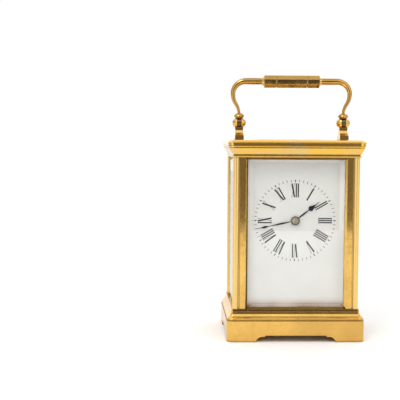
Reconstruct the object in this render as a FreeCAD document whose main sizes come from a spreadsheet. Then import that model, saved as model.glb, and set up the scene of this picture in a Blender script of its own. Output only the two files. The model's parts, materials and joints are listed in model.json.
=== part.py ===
import FreeCAD, Part
import math
import os
import re
import Sketcher
from FreeCAD import Placement, Rotation, Vector

# A French-style carriage clock, in millimetres. The origin is the centre of the base's underside;
# +X is to the right of the dial, -Y is the side of the dial and +Z is up. A case of moulded brass
# holds a time-only movement: barrel, intermediate, centre, third and contrate wheels drive a
# platform lever escapement on top of the plates. The dial train drives the hands from the centre
# arbor.

SIZES = {
    # Case body, over the pillars. Its depth and the pillars' height follow from the movement.
    "body_width": 82.5,
    "base_height": 21.1,
    "cornice_height": 11.4,
    # Base: how far the block stands out past the body, and its mouldings.
    "base_projection": 3.75,
    "block_height": 13.7,
    "block_rounding": 0.5,
    "base_groove_depth": 0.8,
    "base_groove_height": 0.5,
    "ledge_height": 1.5,
    "ledge_radius": 0.8,
    "cavetto_radius": 4.2,
    "fillet_projection": 0.65,
    "fillet_height": 1.6,
    "fillet_slope": 0.3,
    "fillet_step": 0.1,
    "moulding_corner": 0.4,
    "moulding_root": 0.3,
    # Base: underside, feet and cut-outs.
    "base_wall": 4.5,
    "base_deck": 6.6,
    "foot_gap_width": 52.4,
    "foot_gap_depth": 39.0,
    "arch_height": 4.4,
    "arch_step": 0.9,
    "arch_curve_width": 5.2,
    "arch_curve_radius": 4.5,
    "arch_notch": 1.0,
    # Cornice: mouldings, from the bottom up.
    "cornice_projection": 3.95,
    "neck_projection": 0.5,
    "neck_lip": 0.25,
    "neck_bead_height": 0.8,
    "neck_bead_radius": 0.45,
    "neck_groove_height": 1.1,
    "neck_groove_projection": 0.1,
    "bevel_foot": 0.5,
    "bevel_projection": 2.9,
    "bevel_height": 3.9,
    "bead_step": 0.35,
    "bead_groove_height": 0.55,
    "bead_height": 1.15,
    "bead_bulge_radius": 0.65,
    "band_projection": 3.45,
    "band_height": 1.55,
    "ovolo_lip": 0.3,
    "ovolo_radius": 6.0,
    # Cornice: hollow underside and the window for the top glass.
    "rim_width": 9.5,
    "ceiling": 4.0,
    "top_window_width": 48.0,
    "top_window_depth": 36.0,
    "top_window_radius": 3.0,
    "top_rebate": 1.8,
    # Pillars.
    "pillar_face": 9.7,
    "leg_thickness": 5.2,
    "bead_radius": 2.05,
    "pillar_groove": 0.6,
    "groove_depth": 0.7,
    "pillar_setback": 0.35,
    "inner_bevel": 1.4,
    "inner_bevel_depth": 1.4,
    "jamb_width": 5.4,
    "jamb_chamfer": 0.5,
    "stop_lip": 1.2,
    "stop_thickness": 1.1,
    "stop_gap": 0.5,
    # Glasses: thickness, thin edge held in the slots, and the bevel past the slot.
    "glass_thickness": 2.8,
    "glass_edge": 1.5,
    "glass_bevel": 3.0,
    "glass_play": 0.1,
    "slot_depth": 1.4,
    "slot_setback": 2.35,
    # Pillar screws.
    "screw_inset": 3.0,
    "pillar_screw_radius": 1.1,
    "pillar_screw_grip": 8.0,
    "pillar_stud_rise": 5.0,
    "screw_head_radius": 2.0,
    "screw_head_height": 1.5,
    "screw_slot_width": 0.5,
    "screw_slot_depth": 0.6,
    "screw_play": 0.1,
    # Rear door.
    "door_thickness": 4.4,
    "door_gap": 0.3,
    "door_end_gap": 0.4,
    "door_frame_width": 7.0,
    "door_rebate": 1.4,
    "hinge_pin_radius": 0.8,
    "hinge_pin_bite": 3.0,
    "hinge_play": 0.05,
    "knob_radius": 2.6,
    "knob_neck_radius": 1.1,
    "knob_neck": 1.6,
    "knob_head": 2.2,
    "knob_inset": 3.5,
    "knob_rise": 58.0,
    # Handle posts.
    "post_inset": 5.75,
    "post_width": 5.9,
    "post_depth": 11.5,
    "post_foot": 2.9,
    "post_flare": 4.8,
    "post_top": 0.9,
    "post_top_width": 5.5,
    "post_top_depth": 4.0,
    "post_flare_radius": 14.0,
    "post_side_radius": 4.7,
    "post_stud_radius": 1.5,
    "post_stud_length": 6.0,
    "knuckle_length": 8.8,
    "knuckle_radius": 3.65,
    "knuckle_end_radius": 1.6,
    "knuckle_sink": 0.85,
    "knuckle_slot": 3.2,
    "pivot_pin_radius": 0.7,
    "pivot_play": 0.04,
    "pivot_pin_inset": 0.6,
    # Handle bail and grip.
    "tongue_play": 0.25,
    "tongue_inset": 0.4,
    "tongue_width": 3.0,
    "collar_gap": 0.15,
    "collar_sink": 0.45,
    "collar_foot_radius": 2.6,
    "collar_radius": 3.6,
    "collar_rim": 1.3,
    "collar_dome": 2.1,
    "collar_dome_radius": 3.0,
    "collar_top_radius": 1.1,
    "rod_foot_radius": 0.95,
    "rod_side_radius": 1.6,
    "rod_end_radius": 2.15,
    "bail_spread": 4.25,
    "bail_bend": 8.5,
    "handle_rise": 28.05,
    "grip_length": 37.5,
    "grip_radius": 4.5,
    "grip_twist": 8.0,
    "grip_cap": 8.0,
    "grip_groove": 0.6,
    "grip_groove_depth": 0.7,
    "grip_bead": 1.7,
    "grip_bead_radius": 3.24,
    "grip_bead_end": 2.2,
    "grip_socket": 7.0,
    "grip_socket_radius": 1.5,
    "grip_socket_play": 0.1,
    # Movement plates.
    "dial_setback": 9.0,
    "dial_thickness": 1.6,
    "dial_inset": 7.25,
    "dial_gap": 0.6,
    "dial_train_gap": 5.4,
    "plate_thickness": 2.0,
    "plate_gap": 30.0,
    "plate_width": 54.0,
    "plate_corner": 2.0,
    "plate_pillar_radius": 2.6,
    "plate_pillar_inset": 4.5,
    "plate_screw_radius": 1.2,
    "plate_screw_head": 2.2,
    "plate_screw_length": 6.0,
    "seat_screw_radius": 1.3,
    "seat_screw_head": 2.34,
    "dial_foot_radius": 0.8,
    "dial_foot_spread": 20.0,
    "dial_foot_rise": 24.0,
    "dial_foot_drop": 30.0,
    "dial_foot_tail": 1.2,
    # Room left round the movement: under the great wheel, between the contrate wheel and the
    # platform, between the index and the top glass, and between the squares and the rear door.
    "barrel_clearance": 6.021,
    "contrate_clearance": 2.99,
    "index_clearance": 5.0,
    "key_gap": 4.8,
    # Places of the arbors: the bearing of each from the one before, clockwise from straight up.
    "intermediate_bearing": 167.0,
    "barrel_bearing": 206.8,
    "third_bearing": 20.6,
    "contrate_bearing": 288.9,
    "minute_bearing": 112.0,
    "click_bearing": 62.0,
    # Going train: teeth and modules.
    "barrel_teeth": 80,
    "intermediate_leaves": 12,
    "barrel_module": 0.45,
    "intermediate_teeth": 64,
    "centre_leaves": 10,
    "intermediate_module": 0.40,
    "centre_teeth": 80,
    "third_leaves": 10,
    "centre_module": 0.32,
    "third_teeth": 75,
    "contrate_leaves": 10,
    "third_module": 0.30,
    "contrate_teeth": 80,
    "escape_leaves": 8,
    "contrate_module": 0.275,
    # Dial train.
    "cannon_leaves": 12,
    "minute_teeth": 36,
    "minute_leaves": 10,
    "hour_teeth": 40,
    "motion_distance": 8.6,
    "motion_wheel_thickness": 0.9,
    "motion_pinion_length": 1.8,
    "motion_gap": 0.5,
    "stud_radius": 0.6,
    "stud_shoulder_radius": 0.96,
    "stud_tip": 0.45,
    # Tooth form, in modules.
    "tooth_addendum": 0.85,
    "tooth_dedendum": 1.15,
    "contrate_addendum": 0.65,
    "tooth_backlash": 0.13,
    "pressure_angle": 25.0,
    # Arbors, pivots and running play.
    "pivot_radius": 0.5,
    "running_play": 0.05,
    "arbor_radius": 0.9,
    "barrel_pivot_radius": 2.0,
    "barrel_core_radius": 4.0,
    "barrel_radius": 16.4,
    "barrel_wall": 1.0,
    "barrel_front_gap": 1.5,
    "barrel_length": 17.0,
    "great_wheel_thickness": 2.0,
    "spring_width": 13.5,
    "spring_thickness": 0.35,
    "spring_turns": 9.0,
    "spring_gap": 0.3,
    "square_size": 2.6,
    "square_length": 4.0,
    "square_neck": 4.0,
    "centre_radius": 1.0,
    "setting_square_size": 1.4,
    "wheel_thickness": 1.2,
    "wheel_hub_radius": 2.6,
    "wheel_rim": 1.4,
    "spoke_width": 1.1,
    # Distances of the wheels behind the front plate's inner face.
    "intermediate_pinion_start": 17.8,
    "intermediate_wheel_start": 24.5,
    "centre_wheel_start": 8.5,
    "third_wheel_start": 15.5,
    "contrate_wheel_start": 23.2,
    "contrate_tooth_length": 1.6,
    "contrate_rim_width": 0.8,
    "contrate_tooth_inset": 0.08,
    "contrate_tooth_sink": 0.4,
    "pinion_length": 3.2,
    # Ratchet work, on the back of the back plate.
    "ratchet_teeth": 24,
    "ratchet_radius": 8.0,
    "ratchet_tooth_depth": 1.1,
    "ratchet_tooth_face": 0.12,
    "ratchet_thickness": 1.5,
    "ratchet_gap": 0.3,
    "click_distance": 13.5,
    "click_width": 2.6,
    "click_length": 7.02,
    "click_tip_width": 0.9,
    "click_eye_wall": 0.6,
    "click_screw_radius": 1.1,
    "click_lean": 33.5,
    "click_spring_run": 7.0,
    "click_spring_blade": 0.5,
    # Hands and their pipes.
    "cannon_pipe_radius": 1.5,
    "hour_pipe_radius": 2.1,
    "hand_thickness": 0.35,
    "hour_hand_gap": 0.5,
    "hand_gap": 0.5,
    "hour_hand_length": 20.0,
    "hour_pear_place": 13.15,
    "hour_pear_width": 3.7,
    "hour_pear_length": 5.55,
    "hour_neck_width": 0.8,
    "minute_hand_length": 27.0,
    "minute_drop_place": 20.1,
    "minute_drop_width": 1.6,
    "minute_drop_length": 3.2,
    "minute_neck_width": 0.6,
    "hand_root_width": 1.2,
    "hand_point_width": 0.16,
    "hour_boss_radius": 2.9,
    "minute_boss_radius": 2.6,
    "collet_radius": 2.9,
    "collet_nose_radius": 2.05,
    "collet_thickness": 0.6,
    "dial_hole_radius": 2.5,
    "hour_hand_angle": 51.5,
    "minute_hand_angle": 258.0,
    # Platform escapement.
    "platform_width": 50.0,
    "platform_thickness": 1.6,
    "escape_line": 5.5,
    "balance_distance": 9.5,
    "escape_radius": 3.4,
    "escape_heel_radius": 3.3,
    "escape_root_radius": 2.5,
    "escape_rim_radius": 2.05,
    "escape_hub_radius": 0.95,
    "escape_spoke_width": 0.4,
    "escape_teeth": 15,
    "escape_rise": 1.6,
    "escape_thickness": 0.5,
    "lever_thickness": 0.6,
    "lever_bar_width": 0.95,
    "pallet_clearance": 0.4,
    "pallet_angle": 38.0,
    "bridge_rise": 3.6,
    "bridge_thickness": 1.0,
    "balance_radius": 7.5,
    "balance_rim": 1.0,
    "balance_rise": 5.6,
    "balance_height": 1.2,
    "hairspring_rise": 7.6,
    "hairspring_height": 0.4,
    "hairspring_strip": 0.16,
    "hairspring_turns": 7.0,
    "hairspring_radius": 4.5,
    "cock_rise": 9.0,
    "cock_thickness": 1.2,
    "cock_width": 6.0,
    "staff_radius": 0.6,
    "staff_pivot_radius": 0.25,
    "staff_pivot_length": 0.8,
    "platform_screw_radius": 0.9,
    "platform_screw_head": 1.62,
    "index_thickness": 0.5,
    "index_radius": 2.6,
    "index_pointer": 3.0,
    "escape_pinion_length": 2.6,
    "potence_drop": 5.2,
    "potence_reach": 4.6,
    "potence_width": 2.4,
    "pallet_length": 2.0,
    "fork_clearance": 1.6,
    "fork_length": 1.2,
    "fork_width": 1.2,
    "fork_horn": 0.3,
    "roller_radius": 1.5,
    "cock_foot": 5.0,
    "bridge_leg": 1.6,
}

doc = FreeCAD.newDocument("carriage_clock")
sheet = doc.addObject("Spreadsheet::Sheet", "Sheet")
for row, (name, number) in enumerate(SIZES.items(), start=1):
    sheet.set(f"A{row}", name)
    sheet.set(f"B{row}", str(number))
    sheet.setAlias(f"B{row}", name)
doc.recompute()

sub_parts = []


# ---------------------------------------------------------------- working with the sheet

def cells(expression):
    """The expression with every size's name pointed at its cell."""
    def cell(match):
        word = match.group()
        return f"Sheet.{word}" if word in SIZES else word
    return re.sub(r"[a-z_]+", cell, str(expression))


def size(expression):
    """The expression's present value, a plain number."""
    value = sheet.evalExpression(cells(expression))
    return float(getattr(value, "Value", value))


def bind(item, sizes):
    """Binds properties of an object to expressions of the sheet."""
    for name, expression in sizes.items():
        item.setExpression(name, cells(expression))


def move(item, x="0", y="0", z="0", turn=None):
    """Places an object at a point of the sheet's, turned by a Rotation."""
    item.Placement = Placement(Vector(0, 0, 0), turn or Rotation())
    bind(item, {"Placement.Base.x": x, "Placement.Base.y": y, "Placement.Base.z": z})
    return item


def sub_part(item, label):
    """Names an object as one of the clock's nodes."""
    item.Label = label
    sub_parts.append(item)
    return item


TO_BACK = Rotation(Vector(1, 0, 0), -90)      # local +Z becomes +Y
TO_FRONT = Rotation(Vector(1, 0, 0), 90)      # local +Z becomes -Y
TO_RIGHT = Rotation(Vector(0, 1, 0), 90)      # local +Z becomes +X


# ---------------------------------------------------------------- primitives and booleans

def cylinder(radius, height, x="0", y="0", z="0", turn=None):
    item = doc.addObject("Part::Cylinder", "cylinder")
    bind(item, {"Radius": radius, "Height": height})
    return move(item, x, y, z, turn)


def cone(foot, top, height, x="0", y="0", z="0", turn=None):
    item = doc.addObject("Part::Cone", "cone")
    bind(item, {"Radius1": foot, "Radius2": top, "Height": height})
    return move(item, x, y, z, turn)


def box(length, width, height, x="0", y="0", z="0"):
    """A box whose middle is at x and y, and whose underside is at z."""
    item = doc.addObject("Part::Box", "box")
    bind(item, {"Length": length, "Width": width, "Height": height})
    return move(item, f"({x}) - ({length}) / 2", f"({y}) - ({width}) / 2", z)


def fuse(pieces, refine=True):
    item = doc.addObject("Part::MultiFuse", "fusion")
    item.Shapes = pieces
    item.Refine = refine
    return item


def cut(base, tools):
    item = doc.addObject("Part::Cut", "cut")
    item.Base = base
    item.Tool = tools[0] if len(tools) == 1 else fuse(tools)
    item.Refine = True
    return item


def group(pieces):
    """Separate solids that share one node, such as identical screws."""
    item = doc.addObject("Part::Compound", "group")
    item.Links = pieces
    return item


def turned(steps, x="0", y="0", z="0", turn=None):
    """A turned piece: steps of (start, length, radius) along its own axis, placed as one."""
    rods = [cylinder(radius, length, z=start) for start, length, radius in steps]
    item = rods[0] if len(rods) == 1 else fuse(rods)
    return move(item, x, y, z, turn)


def feature(shape, x="0", y="0", z="0", turn=None):
    """An object for a shape that has no parametric feature of its own, such as a toothed wheel."""
    item = doc.addObject("Part::Feature", "shape")
    item.Shape = shape
    return move(item, x, y, z, turn)


# ---------------------------------------------------------------- sketches and bodies

def body(label):
    return sub_part(doc.addObject("PartDesign::Body", label), label)


def sketch_on(owner, role, offset="0"):
    """A sketch on one of the body's own origin planes, offset along the plane's normal."""
    sketch = owner.newObject("Sketcher::SketchObject", "sketch")
    plane = next(item for item in owner.Origin.OriginFeatures if item.Role == role)
    sketch.AttachmentSupport = [(plane, "")]
    sketch.MapMode = "FlatFace"
    bind(sketch, {"AttachmentOffset.Base.z": offset})
    return sketch


def arc_edge(start, end, radius, side, large):
    """The arc between two points that bulges to the left (side 1) or right (side -1)."""
    chord = end - start
    middle = (start + end) * 0.5
    left = Vector(-chord.y, chord.x, 0).normalize()
    reach = math.sqrt(max(radius ** 2 - (chord.Length / 2) ** 2, 0.0))
    centre = middle + left * reach * (side if large else -side)
    first, last = (start, end) if side < 0 else (end, start)
    angle_first = math.atan2(first.y - centre.y, first.x - centre.x)
    angle_last = math.atan2(last.y - centre.y, last.x - centre.x)
    return Part.ArcOfCircle(Part.Circle(centre, Vector(0, 0, 1), radius), angle_first, angle_last)


def outline(sketch, corners, mirrored=False):
    """Draws a closed outline whose corners are bound to the sheet.

    A corner is (x, y), or (x, y, radius, side, large) where an arc leads on to the next corner.
    A mirrored outline swaps the side to which its arcs bulge.
    """
    first = sketch.GeometryCount
    points = [Vector(size(corner[0]), size(corner[1]), 0) for corner in corners]
    ends = []
    for number, corner in enumerate(corners):
        start = points[number]
        end = points[(number + 1) % len(points)]
        if len(corner) == 2:
            sketch.addGeometry(Part.LineSegment(start, end))
            ends.append((1, 2))
            continue
        side = -corner[3] if mirrored else corner[3]
        sketch.addGeometry(arc_edge(start, end, size(corner[2]), side, corner[4]))
        ends.append((1, 2) if side < 0 else (2, 1))
    for number, corner in enumerate(corners):
        edge = first + number
        after = (number + 1) % len(corners)
        sketch.addConstraint(
            Sketcher.Constraint("Coincident", edge, ends[number][1], first + after, ends[after][0])
        )
        for direction, expression in zip(("DistanceX", "DistanceY"), corner[:2]):
            index = sketch.addConstraint(
                Sketcher.Constraint(direction, -1, 1, edge, ends[number][0], size(expression))
            )
            sketch.setExpression(f"Constraints[{index}]", cells(expression))
        if len(corner) > 2:
            index = sketch.addConstraint(Sketcher.Constraint("Radius", edge, size(corner[2])))
            sketch.setExpression(f"Constraints[{index}]", cells(corner[2]))


def circle(sketch, radius, x="0", y="0"):
    """A circle whose centre and radius are bound to the sheet."""
    edge = sketch.addGeometry(
        Part.Circle(Vector(size(x), size(y), 0), Vector(0, 0, 1), size(radius))
    )
    for constraint, expression in (
        (("DistanceX", -1, 1, edge, 3), x),
        (("DistanceY", -1, 1, edge, 3), y),
        (("Radius", edge), radius),
    ):
        index = sketch.addConstraint(Sketcher.Constraint(*constraint, size(expression)))
        sketch.setExpression(f"Constraints[{index}]", cells(expression))


def rectangle(sketch, half_width, half_height, x="0", y="0"):
    outline(sketch, [
        (f"({x}) - ({half_width})", f"({y}) - ({half_height})"),
        (f"({x}) + ({half_width})", f"({y}) - ({half_height})"),
        (f"({x}) + ({half_width})", f"({y}) + ({half_height})"),
        (f"({x}) - ({half_width})", f"({y}) + ({half_height})"),
    ])


def rounded_rectangle(sketch, half_width, half_height, radius):
    """A rectangle about the origin with round corners."""
    corners = []
    for sign_x, sign_y, upright_first in ((1, -1, 0), (1, 1, 1), (-1, 1, 0), (-1, -1, 1)):
        flat = (f"{sign_x} * (({half_width}) - ({radius}))", f"{sign_y} * ({half_height})")
        upright = (f"{sign_x} * ({half_width})", f"{sign_y} * (({half_height}) - ({radius}))")
        before, after = (upright, flat) if upright_first else (flat, upright)
        corners.append((*before, radius, -1, False))
        corners.append(after)
    outline(sketch, corners)


def pad(owner, sketch, length, middle=False):
    item = owner.newObject("PartDesign::Pad", "pad")
    item.Profile = sketch
    item.Midplane = middle
    bind(item, {"Length": length})
    return item


def pocket(owner, sketch, depth=None, upwards=False):
    """Cuts a sketch out of a body: to a depth, or right through both ways."""
    item = owner.newObject("PartDesign::Pocket", "pocket")
    item.Profile = sketch
    if depth is None:
        item.Type = "ThroughAll"
        item.Midplane = True
    else:
        bind(item, {"Length": depth})
        item.Reversed = upwards
    return item


def moulding(owner, half_width, half_depth, corners):
    """A moulding swept round a rectangle.

    The corners of its section are (distance out past the rectangle, height above the body's
    origin), with arcs as in outline.
    """
    path = sketch_on(owner, "XY_Plane")
    rounded_rectangle(path, half_width, half_depth, "moulding_corner")
    section = sketch_on(owner, "XZ_Plane")
    outline(section, [(f"({half_width}) + ({c[0]})", *c[1:]) for c in corners])
    item = owner.newObject("PartDesign::AdditivePipe", "moulding")
    item.Profile = section
    item.Spine = (path, [f"Edge{number + 1}" for number in range(8)])
    return item


# ---------------------------------------------------------------- heights and faces used often

def mesh_distance(teeth, leaves, module):
    return f"(({teeth} + {leaves}) * {module} / 2)"


def beside(point, distance, bearing):
    """The point at a distance and a bearing, clockwise from straight up as the dial is seen."""
    x, z = point
    return f"({x} + ({distance}) * sin({bearing}))", f"({z} + ({distance}) * cos({bearing}))"


# The great wheel stands clear of the base, and the centre arbor's height follows from it.
INTERMEDIATE_DISTANCE = mesh_distance(
    "intermediate_teeth", "centre_leaves", "intermediate_module"
)
BARREL_DISTANCE = mesh_distance("barrel_teeth", "intermediate_leaves", "barrel_module")
BARREL_HEIGHT = (
    "(base_height + barrel_clearance + (barrel_teeth / 2 + tooth_addendum) * barrel_module)"
)
CENTRE_HEIGHT = (
    f"({BARREL_HEIGHT} - {BARREL_DISTANCE} * cos(barrel_bearing)"
    f" - {INTERMEDIATE_DISTANCE} * cos(intermediate_bearing))"
)
CENTRE = ("(0 * body_width)", CENTRE_HEIGHT)
INTERMEDIATE = beside(CENTRE, INTERMEDIATE_DISTANCE, "intermediate_bearing")
BARREL = beside(INTERMEDIATE, BARREL_DISTANCE, "barrel_bearing")
THIRD = beside(
    CENTRE, mesh_distance("centre_teeth", "third_leaves", "centre_module"), "third_bearing"
)
CONTRATE = beside(
    THIRD, mesh_distance("third_teeth", "contrate_leaves", "third_module"), "contrate_bearing"
)
MINUTE = beside(CENTRE, "motion_distance", "minute_bearing")
CLICK = beside(BARREL, "click_distance", "click_bearing")
CONTRATE_RADIUS = "(contrate_teeth * contrate_module / 2)"
PLATE_TOP = f"({CONTRATE[1]} + {CONTRATE_RADIUS} + contrate_clearance)"
PLATFORM_TOP = f"({PLATE_TOP} + platform_thickness)"

# The case closes round the movement.
HALF_WIDTH = "(body_width / 2)"
BODY_DEPTH = (
    "(dial_setback + dial_thickness + dial_train_gap + plate_gap + 2 * plate_thickness"
    " + ratchet_gap + ratchet_thickness + square_neck + square_length + key_gap + door_thickness)"
)
HALF_DEPTH = f"({BODY_DEPTH} / 2)"
CASE_CEILING = (
    f"({PLATFORM_TOP} + cock_rise + cock_thickness + index_thickness + index_clearance)"
)
CASE_TOP = f"({CASE_CEILING} + ceiling)"
CORNICE_FOOT = f"({CASE_TOP} - cornice_height)"
PILLAR_HEIGHT = f"({CORNICE_FOOT} - base_height)"
SLOT_WIDTH = "(glass_edge + glass_play)"
SLOT_BACK = f"(slot_setback + {SLOT_WIDTH})"
OPENING_HALF_WIDTH = f"({HALF_WIDTH} - pillar_face)"
OPENING_HALF_DEPTH = f"({HALF_DEPTH} - pillar_face)"
SCREW_X = f"({HALF_WIDTH} - screw_inset)"
SCREW_Y = f"({HALF_DEPTH} - screw_inset)"
DOOR_HALF_WIDTH = f"({HALF_WIDTH} - jamb_width - door_gap)"
DOOR_Y = f"({HALF_DEPTH} - door_thickness / 2)"
HINGE_X = f"(door_thickness / 2 - {DOOR_HALF_WIDTH})"
HINGE_HOLE = "(hinge_pin_radius + hinge_play)"
DIAL_FACE = f"(dial_setback - {HALF_DEPTH})"
DIAL_BACK = f"({DIAL_FACE} + dial_thickness)"
PLATE_FRONT = f"({DIAL_BACK} + dial_train_gap)"
GAP_FRONT = f"({PLATE_FRONT} + plate_thickness)"
GAP_BACK = f"({GAP_FRONT} + plate_gap)"
PLATE_BACK = f"({GAP_BACK} + plate_thickness)"
PLATE_MIDDLE = f"({GAP_FRONT} + plate_gap / 2)"
ESCAPE_LEAF_RADIUS = "(escape_leaves * contrate_module / 2)"
ESCAPE_X = CONTRATE[0]
ESCAPE_Y = (
    f"({GAP_FRONT} + contrate_wheel_start - contrate_tooth_length"
    f" + contrate_addendum * contrate_module - {ESCAPE_LEAF_RADIUS})"
)
LEVER_X = f"({ESCAPE_X} + escape_line)"
BALANCE_X = f"({LEVER_X} + balance_distance)"
POST_X = f"({HALF_WIDTH} - post_inset)"
POST_HEIGHT = "(post_foot + post_flare + post_top)"
PIVOT_RISE = f"({POST_HEIGHT} + knuckle_radius - knuckle_sink)"
PIVOT_HEIGHT = f"({CASE_TOP} + {PIVOT_RISE})"
EYE_RADIUS = "(knuckle_radius - tongue_inset)"
COLLAR_FOOT = f"({PIVOT_HEIGHT} + knuckle_radius - collar_sink)"
GRIP_HEIGHT = f"({PIVOT_HEIGHT} + handle_rise)"
PLATE_PILLARS = [
    (side, height)
    for side in ("(plate_pillar_inset - plate_width / 2)", "(plate_width / 2 - plate_pillar_inset)")
    for height in ("(base_height + plate_pillar_inset)", f"({PLATE_TOP} - plate_pillar_inset)")
]
DIAL_FEET = [
    ("(0 - dial_foot_spread)", f"({CENTRE_HEIGHT} + dial_foot_rise)"),
    ("dial_foot_spread", f"({CENTRE_HEIGHT} + dial_foot_rise)"),
    ("(0 * dial_foot_spread)", f"({CENTRE_HEIGHT} - dial_foot_drop)"),
]
CORNERS = {
    "front_left": (-1, -1),
    "front_right": (1, -1),
    "rear_left": (-1, 1),
    "rear_right": (1, 1),
}


# ---------------------------------------------------------------- case: base, pillars, top

def glass_slots(sketch):
    """Slots that hold the thin edges of the front and side glasses."""
    run_x = f"({OPENING_HALF_WIDTH} + slot_depth)"
    run_y = f"({OPENING_HALF_DEPTH} + slot_depth)"
    middle = f"(slot_setback + {SLOT_WIDTH} / 2)"
    half = f"({SLOT_WIDTH} / 2)"
    rectangle(sketch, run_x, half, "0", f"({middle} - {HALF_DEPTH})")
    rectangle(sketch, half, run_y, f"({middle} - {HALF_WIDTH})", "0")
    rectangle(sketch, half, run_y, f"({HALF_WIDTH} - {middle})", "0")


def arch(sketch, gap_width):
    """The outline of a cut-out between two feet: curved sides, a small step and a flat top."""
    foot = f"({gap_width}) / 2"
    shoulder = f"({foot} - arch_curve_width)"
    flat = f"({shoulder} - arch_notch)"
    step = "(arch_height - arch_step)"
    outline(sketch, [
        (f"0 - ({foot})", "0 - arch_step"),
        (foot, "0 - arch_step"),
        (foot, "0 * arch_height", "arch_curve_radius", -1, False),
        (shoulder, step),
        (flat, step),
        (flat, "arch_height"),
        (f"0 - ({flat})", "arch_height"),
        (f"0 - ({flat})", step),
        (f"0 - ({shoulder})", step, "arch_curve_radius", -1, False),
        (f"0 - ({foot})", "0 * arch_height"),
    ])


def make_base():
    base = body("base_plinth")
    core = sketch_on(base, "XY_Plane")
    rectangle(core, f"({HALF_WIDTH} - moulding_root / 2)", f"({HALF_DEPTH} - moulding_root / 2)")
    pad(base, core, "base_height")
    groove_top = "(block_height + base_groove_height)"
    ledge_top = f"({groove_top} + ledge_height)"
    ledge = "(base_projection - base_groove_depth)"
    moulding(base, HALF_WIDTH, HALF_DEPTH, [
        ("0 - moulding_root", "0 * base_height"),
        ("base_projection - block_rounding", "0 * base_height", "block_rounding", -1, False),
        ("base_projection", "block_rounding"),
        ("base_projection", "block_height"),
        (ledge, "block_height"),
        (ledge, groove_top, "ledge_radius", -1, False),
        (ledge, ledge_top, "cavetto_radius", 1, False),
        ("fillet_projection - fillet_step", "base_height - fillet_height"),
        ("fillet_projection", "base_height - fillet_height"),
        ("fillet_projection - fillet_slope", "base_height"),
        ("0 - moulding_root", "base_height"),
    ])
    hollow = sketch_on(base, "XY_Plane")
    rectangle(
        hollow,
        f"({HALF_WIDTH} + base_projection - base_wall)",
        f"({HALF_DEPTH} + base_projection - base_wall)",
    )
    pocket(base, hollow, "base_height - base_deck", upwards=True)
    for role, gap in (("XZ_Plane", "foot_gap_width"), ("YZ_Plane", "foot_gap_depth")):
        between_feet = sketch_on(base, role)
        arch(between_feet, gap)
        pocket(base, between_feet)
    slots = sketch_on(base, "XY_Plane", "base_height")
    glass_slots(slots)
    pocket(base, slots, "slot_depth")
    holes = sketch_on(base, "XY_Plane")
    for side_x, side_y in CORNERS.values():
        circle(
            holes,
            "pillar_screw_radius + screw_play",
            f"{side_x} * {SCREW_X}",
            f"{side_y} * {SCREW_Y}",
        )
    for side, _ in PLATE_PILLARS[::2]:
        circle(holes, "seat_screw_radius + screw_play", side, PLATE_MIDDLE)
    pocket(base, holes)
    pin_hole = sketch_on(base, "XY_Plane", "base_height")
    circle(pin_hole, "hinge_pin_radius", HINGE_X, DOOR_Y)
    pocket(base, pin_hole, "hinge_pin_bite")


def make_pillar(name):
    """A corner pillar: a rounded bead on the outer corner, and two legs that hold the glasses."""
    side_x, side_y = CORNERS[name]
    pillar = body(f"pillar_{name}")
    bind(pillar, {"Placement.Base.z": "base_height"})
    floor = "(pillar_setback + groove_depth)"
    bead_end = f"(bead_radius + sqrt(bead_radius ^ 2 - (bead_radius - {floor}) ^ 2))"
    flat_start = "(2 * bead_radius + pillar_groove)"
    bevel_end = "(pillar_setback + inner_bevel_depth)"
    glazed_leg = [
        ("leg_thickness", "leg_thickness"),
        ("pillar_face", "leg_thickness"),
        ("pillar_face", SLOT_BACK),
        ("pillar_face - slot_depth", SLOT_BACK),
        ("pillar_face - slot_depth", "slot_setback"),
        ("pillar_face", "slot_setback"),
        ("pillar_face", bevel_end),
        ("pillar_face - inner_bevel", "pillar_setback"),
        (flat_start, "pillar_setback"),
        (flat_start, floor),
        (bead_end, floor),
    ]
    stop_front = "(door_thickness + stop_gap)"
    jamb_leg = [
        ("leg_thickness", f"{stop_front} + stop_thickness"),
        ("jamb_width + stop_lip", f"{stop_front} + stop_thickness"),
        ("jamb_width + stop_lip", stop_front),
        ("jamb_width", stop_front),
        ("jamb_width", "pillar_setback + jamb_chamfer"),
        ("jamb_width - jamb_chamfer", "pillar_setback"),
        (flat_start, "pillar_setback"),
        (flat_start, floor),
        (bead_end, floor),
    ]
    first_leg = glazed_leg if side_y < 0 else jamb_leg
    other_leg = [(across, along) for along, across in reversed(glazed_leg[1:])]
    corners = [*first_leg[:-1], (*first_leg[-1], "bead_radius", 1, True), *other_leg]
    section = sketch_on(pillar, "XY_Plane")
    placed = [
        (
            f"{side_x} * ({HALF_WIDTH} - ({corner[0]}))",
            f"{side_y} * ({HALF_DEPTH} - ({corner[1]}))",
            *corner[2:],
        )
        for corner in corners
    ]
    outline(section, placed, mirrored=side_x * side_y < 0)
    pad(pillar, section, PILLAR_HEIGHT)
    centre = f"{side_x} * {SCREW_X}", f"{side_y} * {SCREW_Y}"
    lower = sketch_on(pillar, "XY_Plane")
    circle(lower, "pillar_screw_radius", *centre)
    pocket(pillar, lower, "pillar_screw_grip", upwards=True)
    upper = sketch_on(pillar, "XY_Plane", PILLAR_HEIGHT)
    circle(upper, "pillar_screw_radius", *centre)
    pocket(pillar, upper, "pillar_screw_grip")


def slotted_screw(radius, length, x, y, z, turn=None, head_radius="screw_head_radius"):
    """A cheese-head screw: its head's seat is at the given point and its shank runs along +Z."""
    head = cylinder(head_radius, "screw_head_height", z="0 - screw_head_height")
    slot = box(
        f"2 * ({head_radius} + screw_slot_width)", "screw_slot_width", "screw_slot_depth",
        z="0 - screw_head_height",
    )
    item = fuse([cut(head, [slot]), cylinder(radius, length)])
    return move(item, x, y, z, turn)


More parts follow.
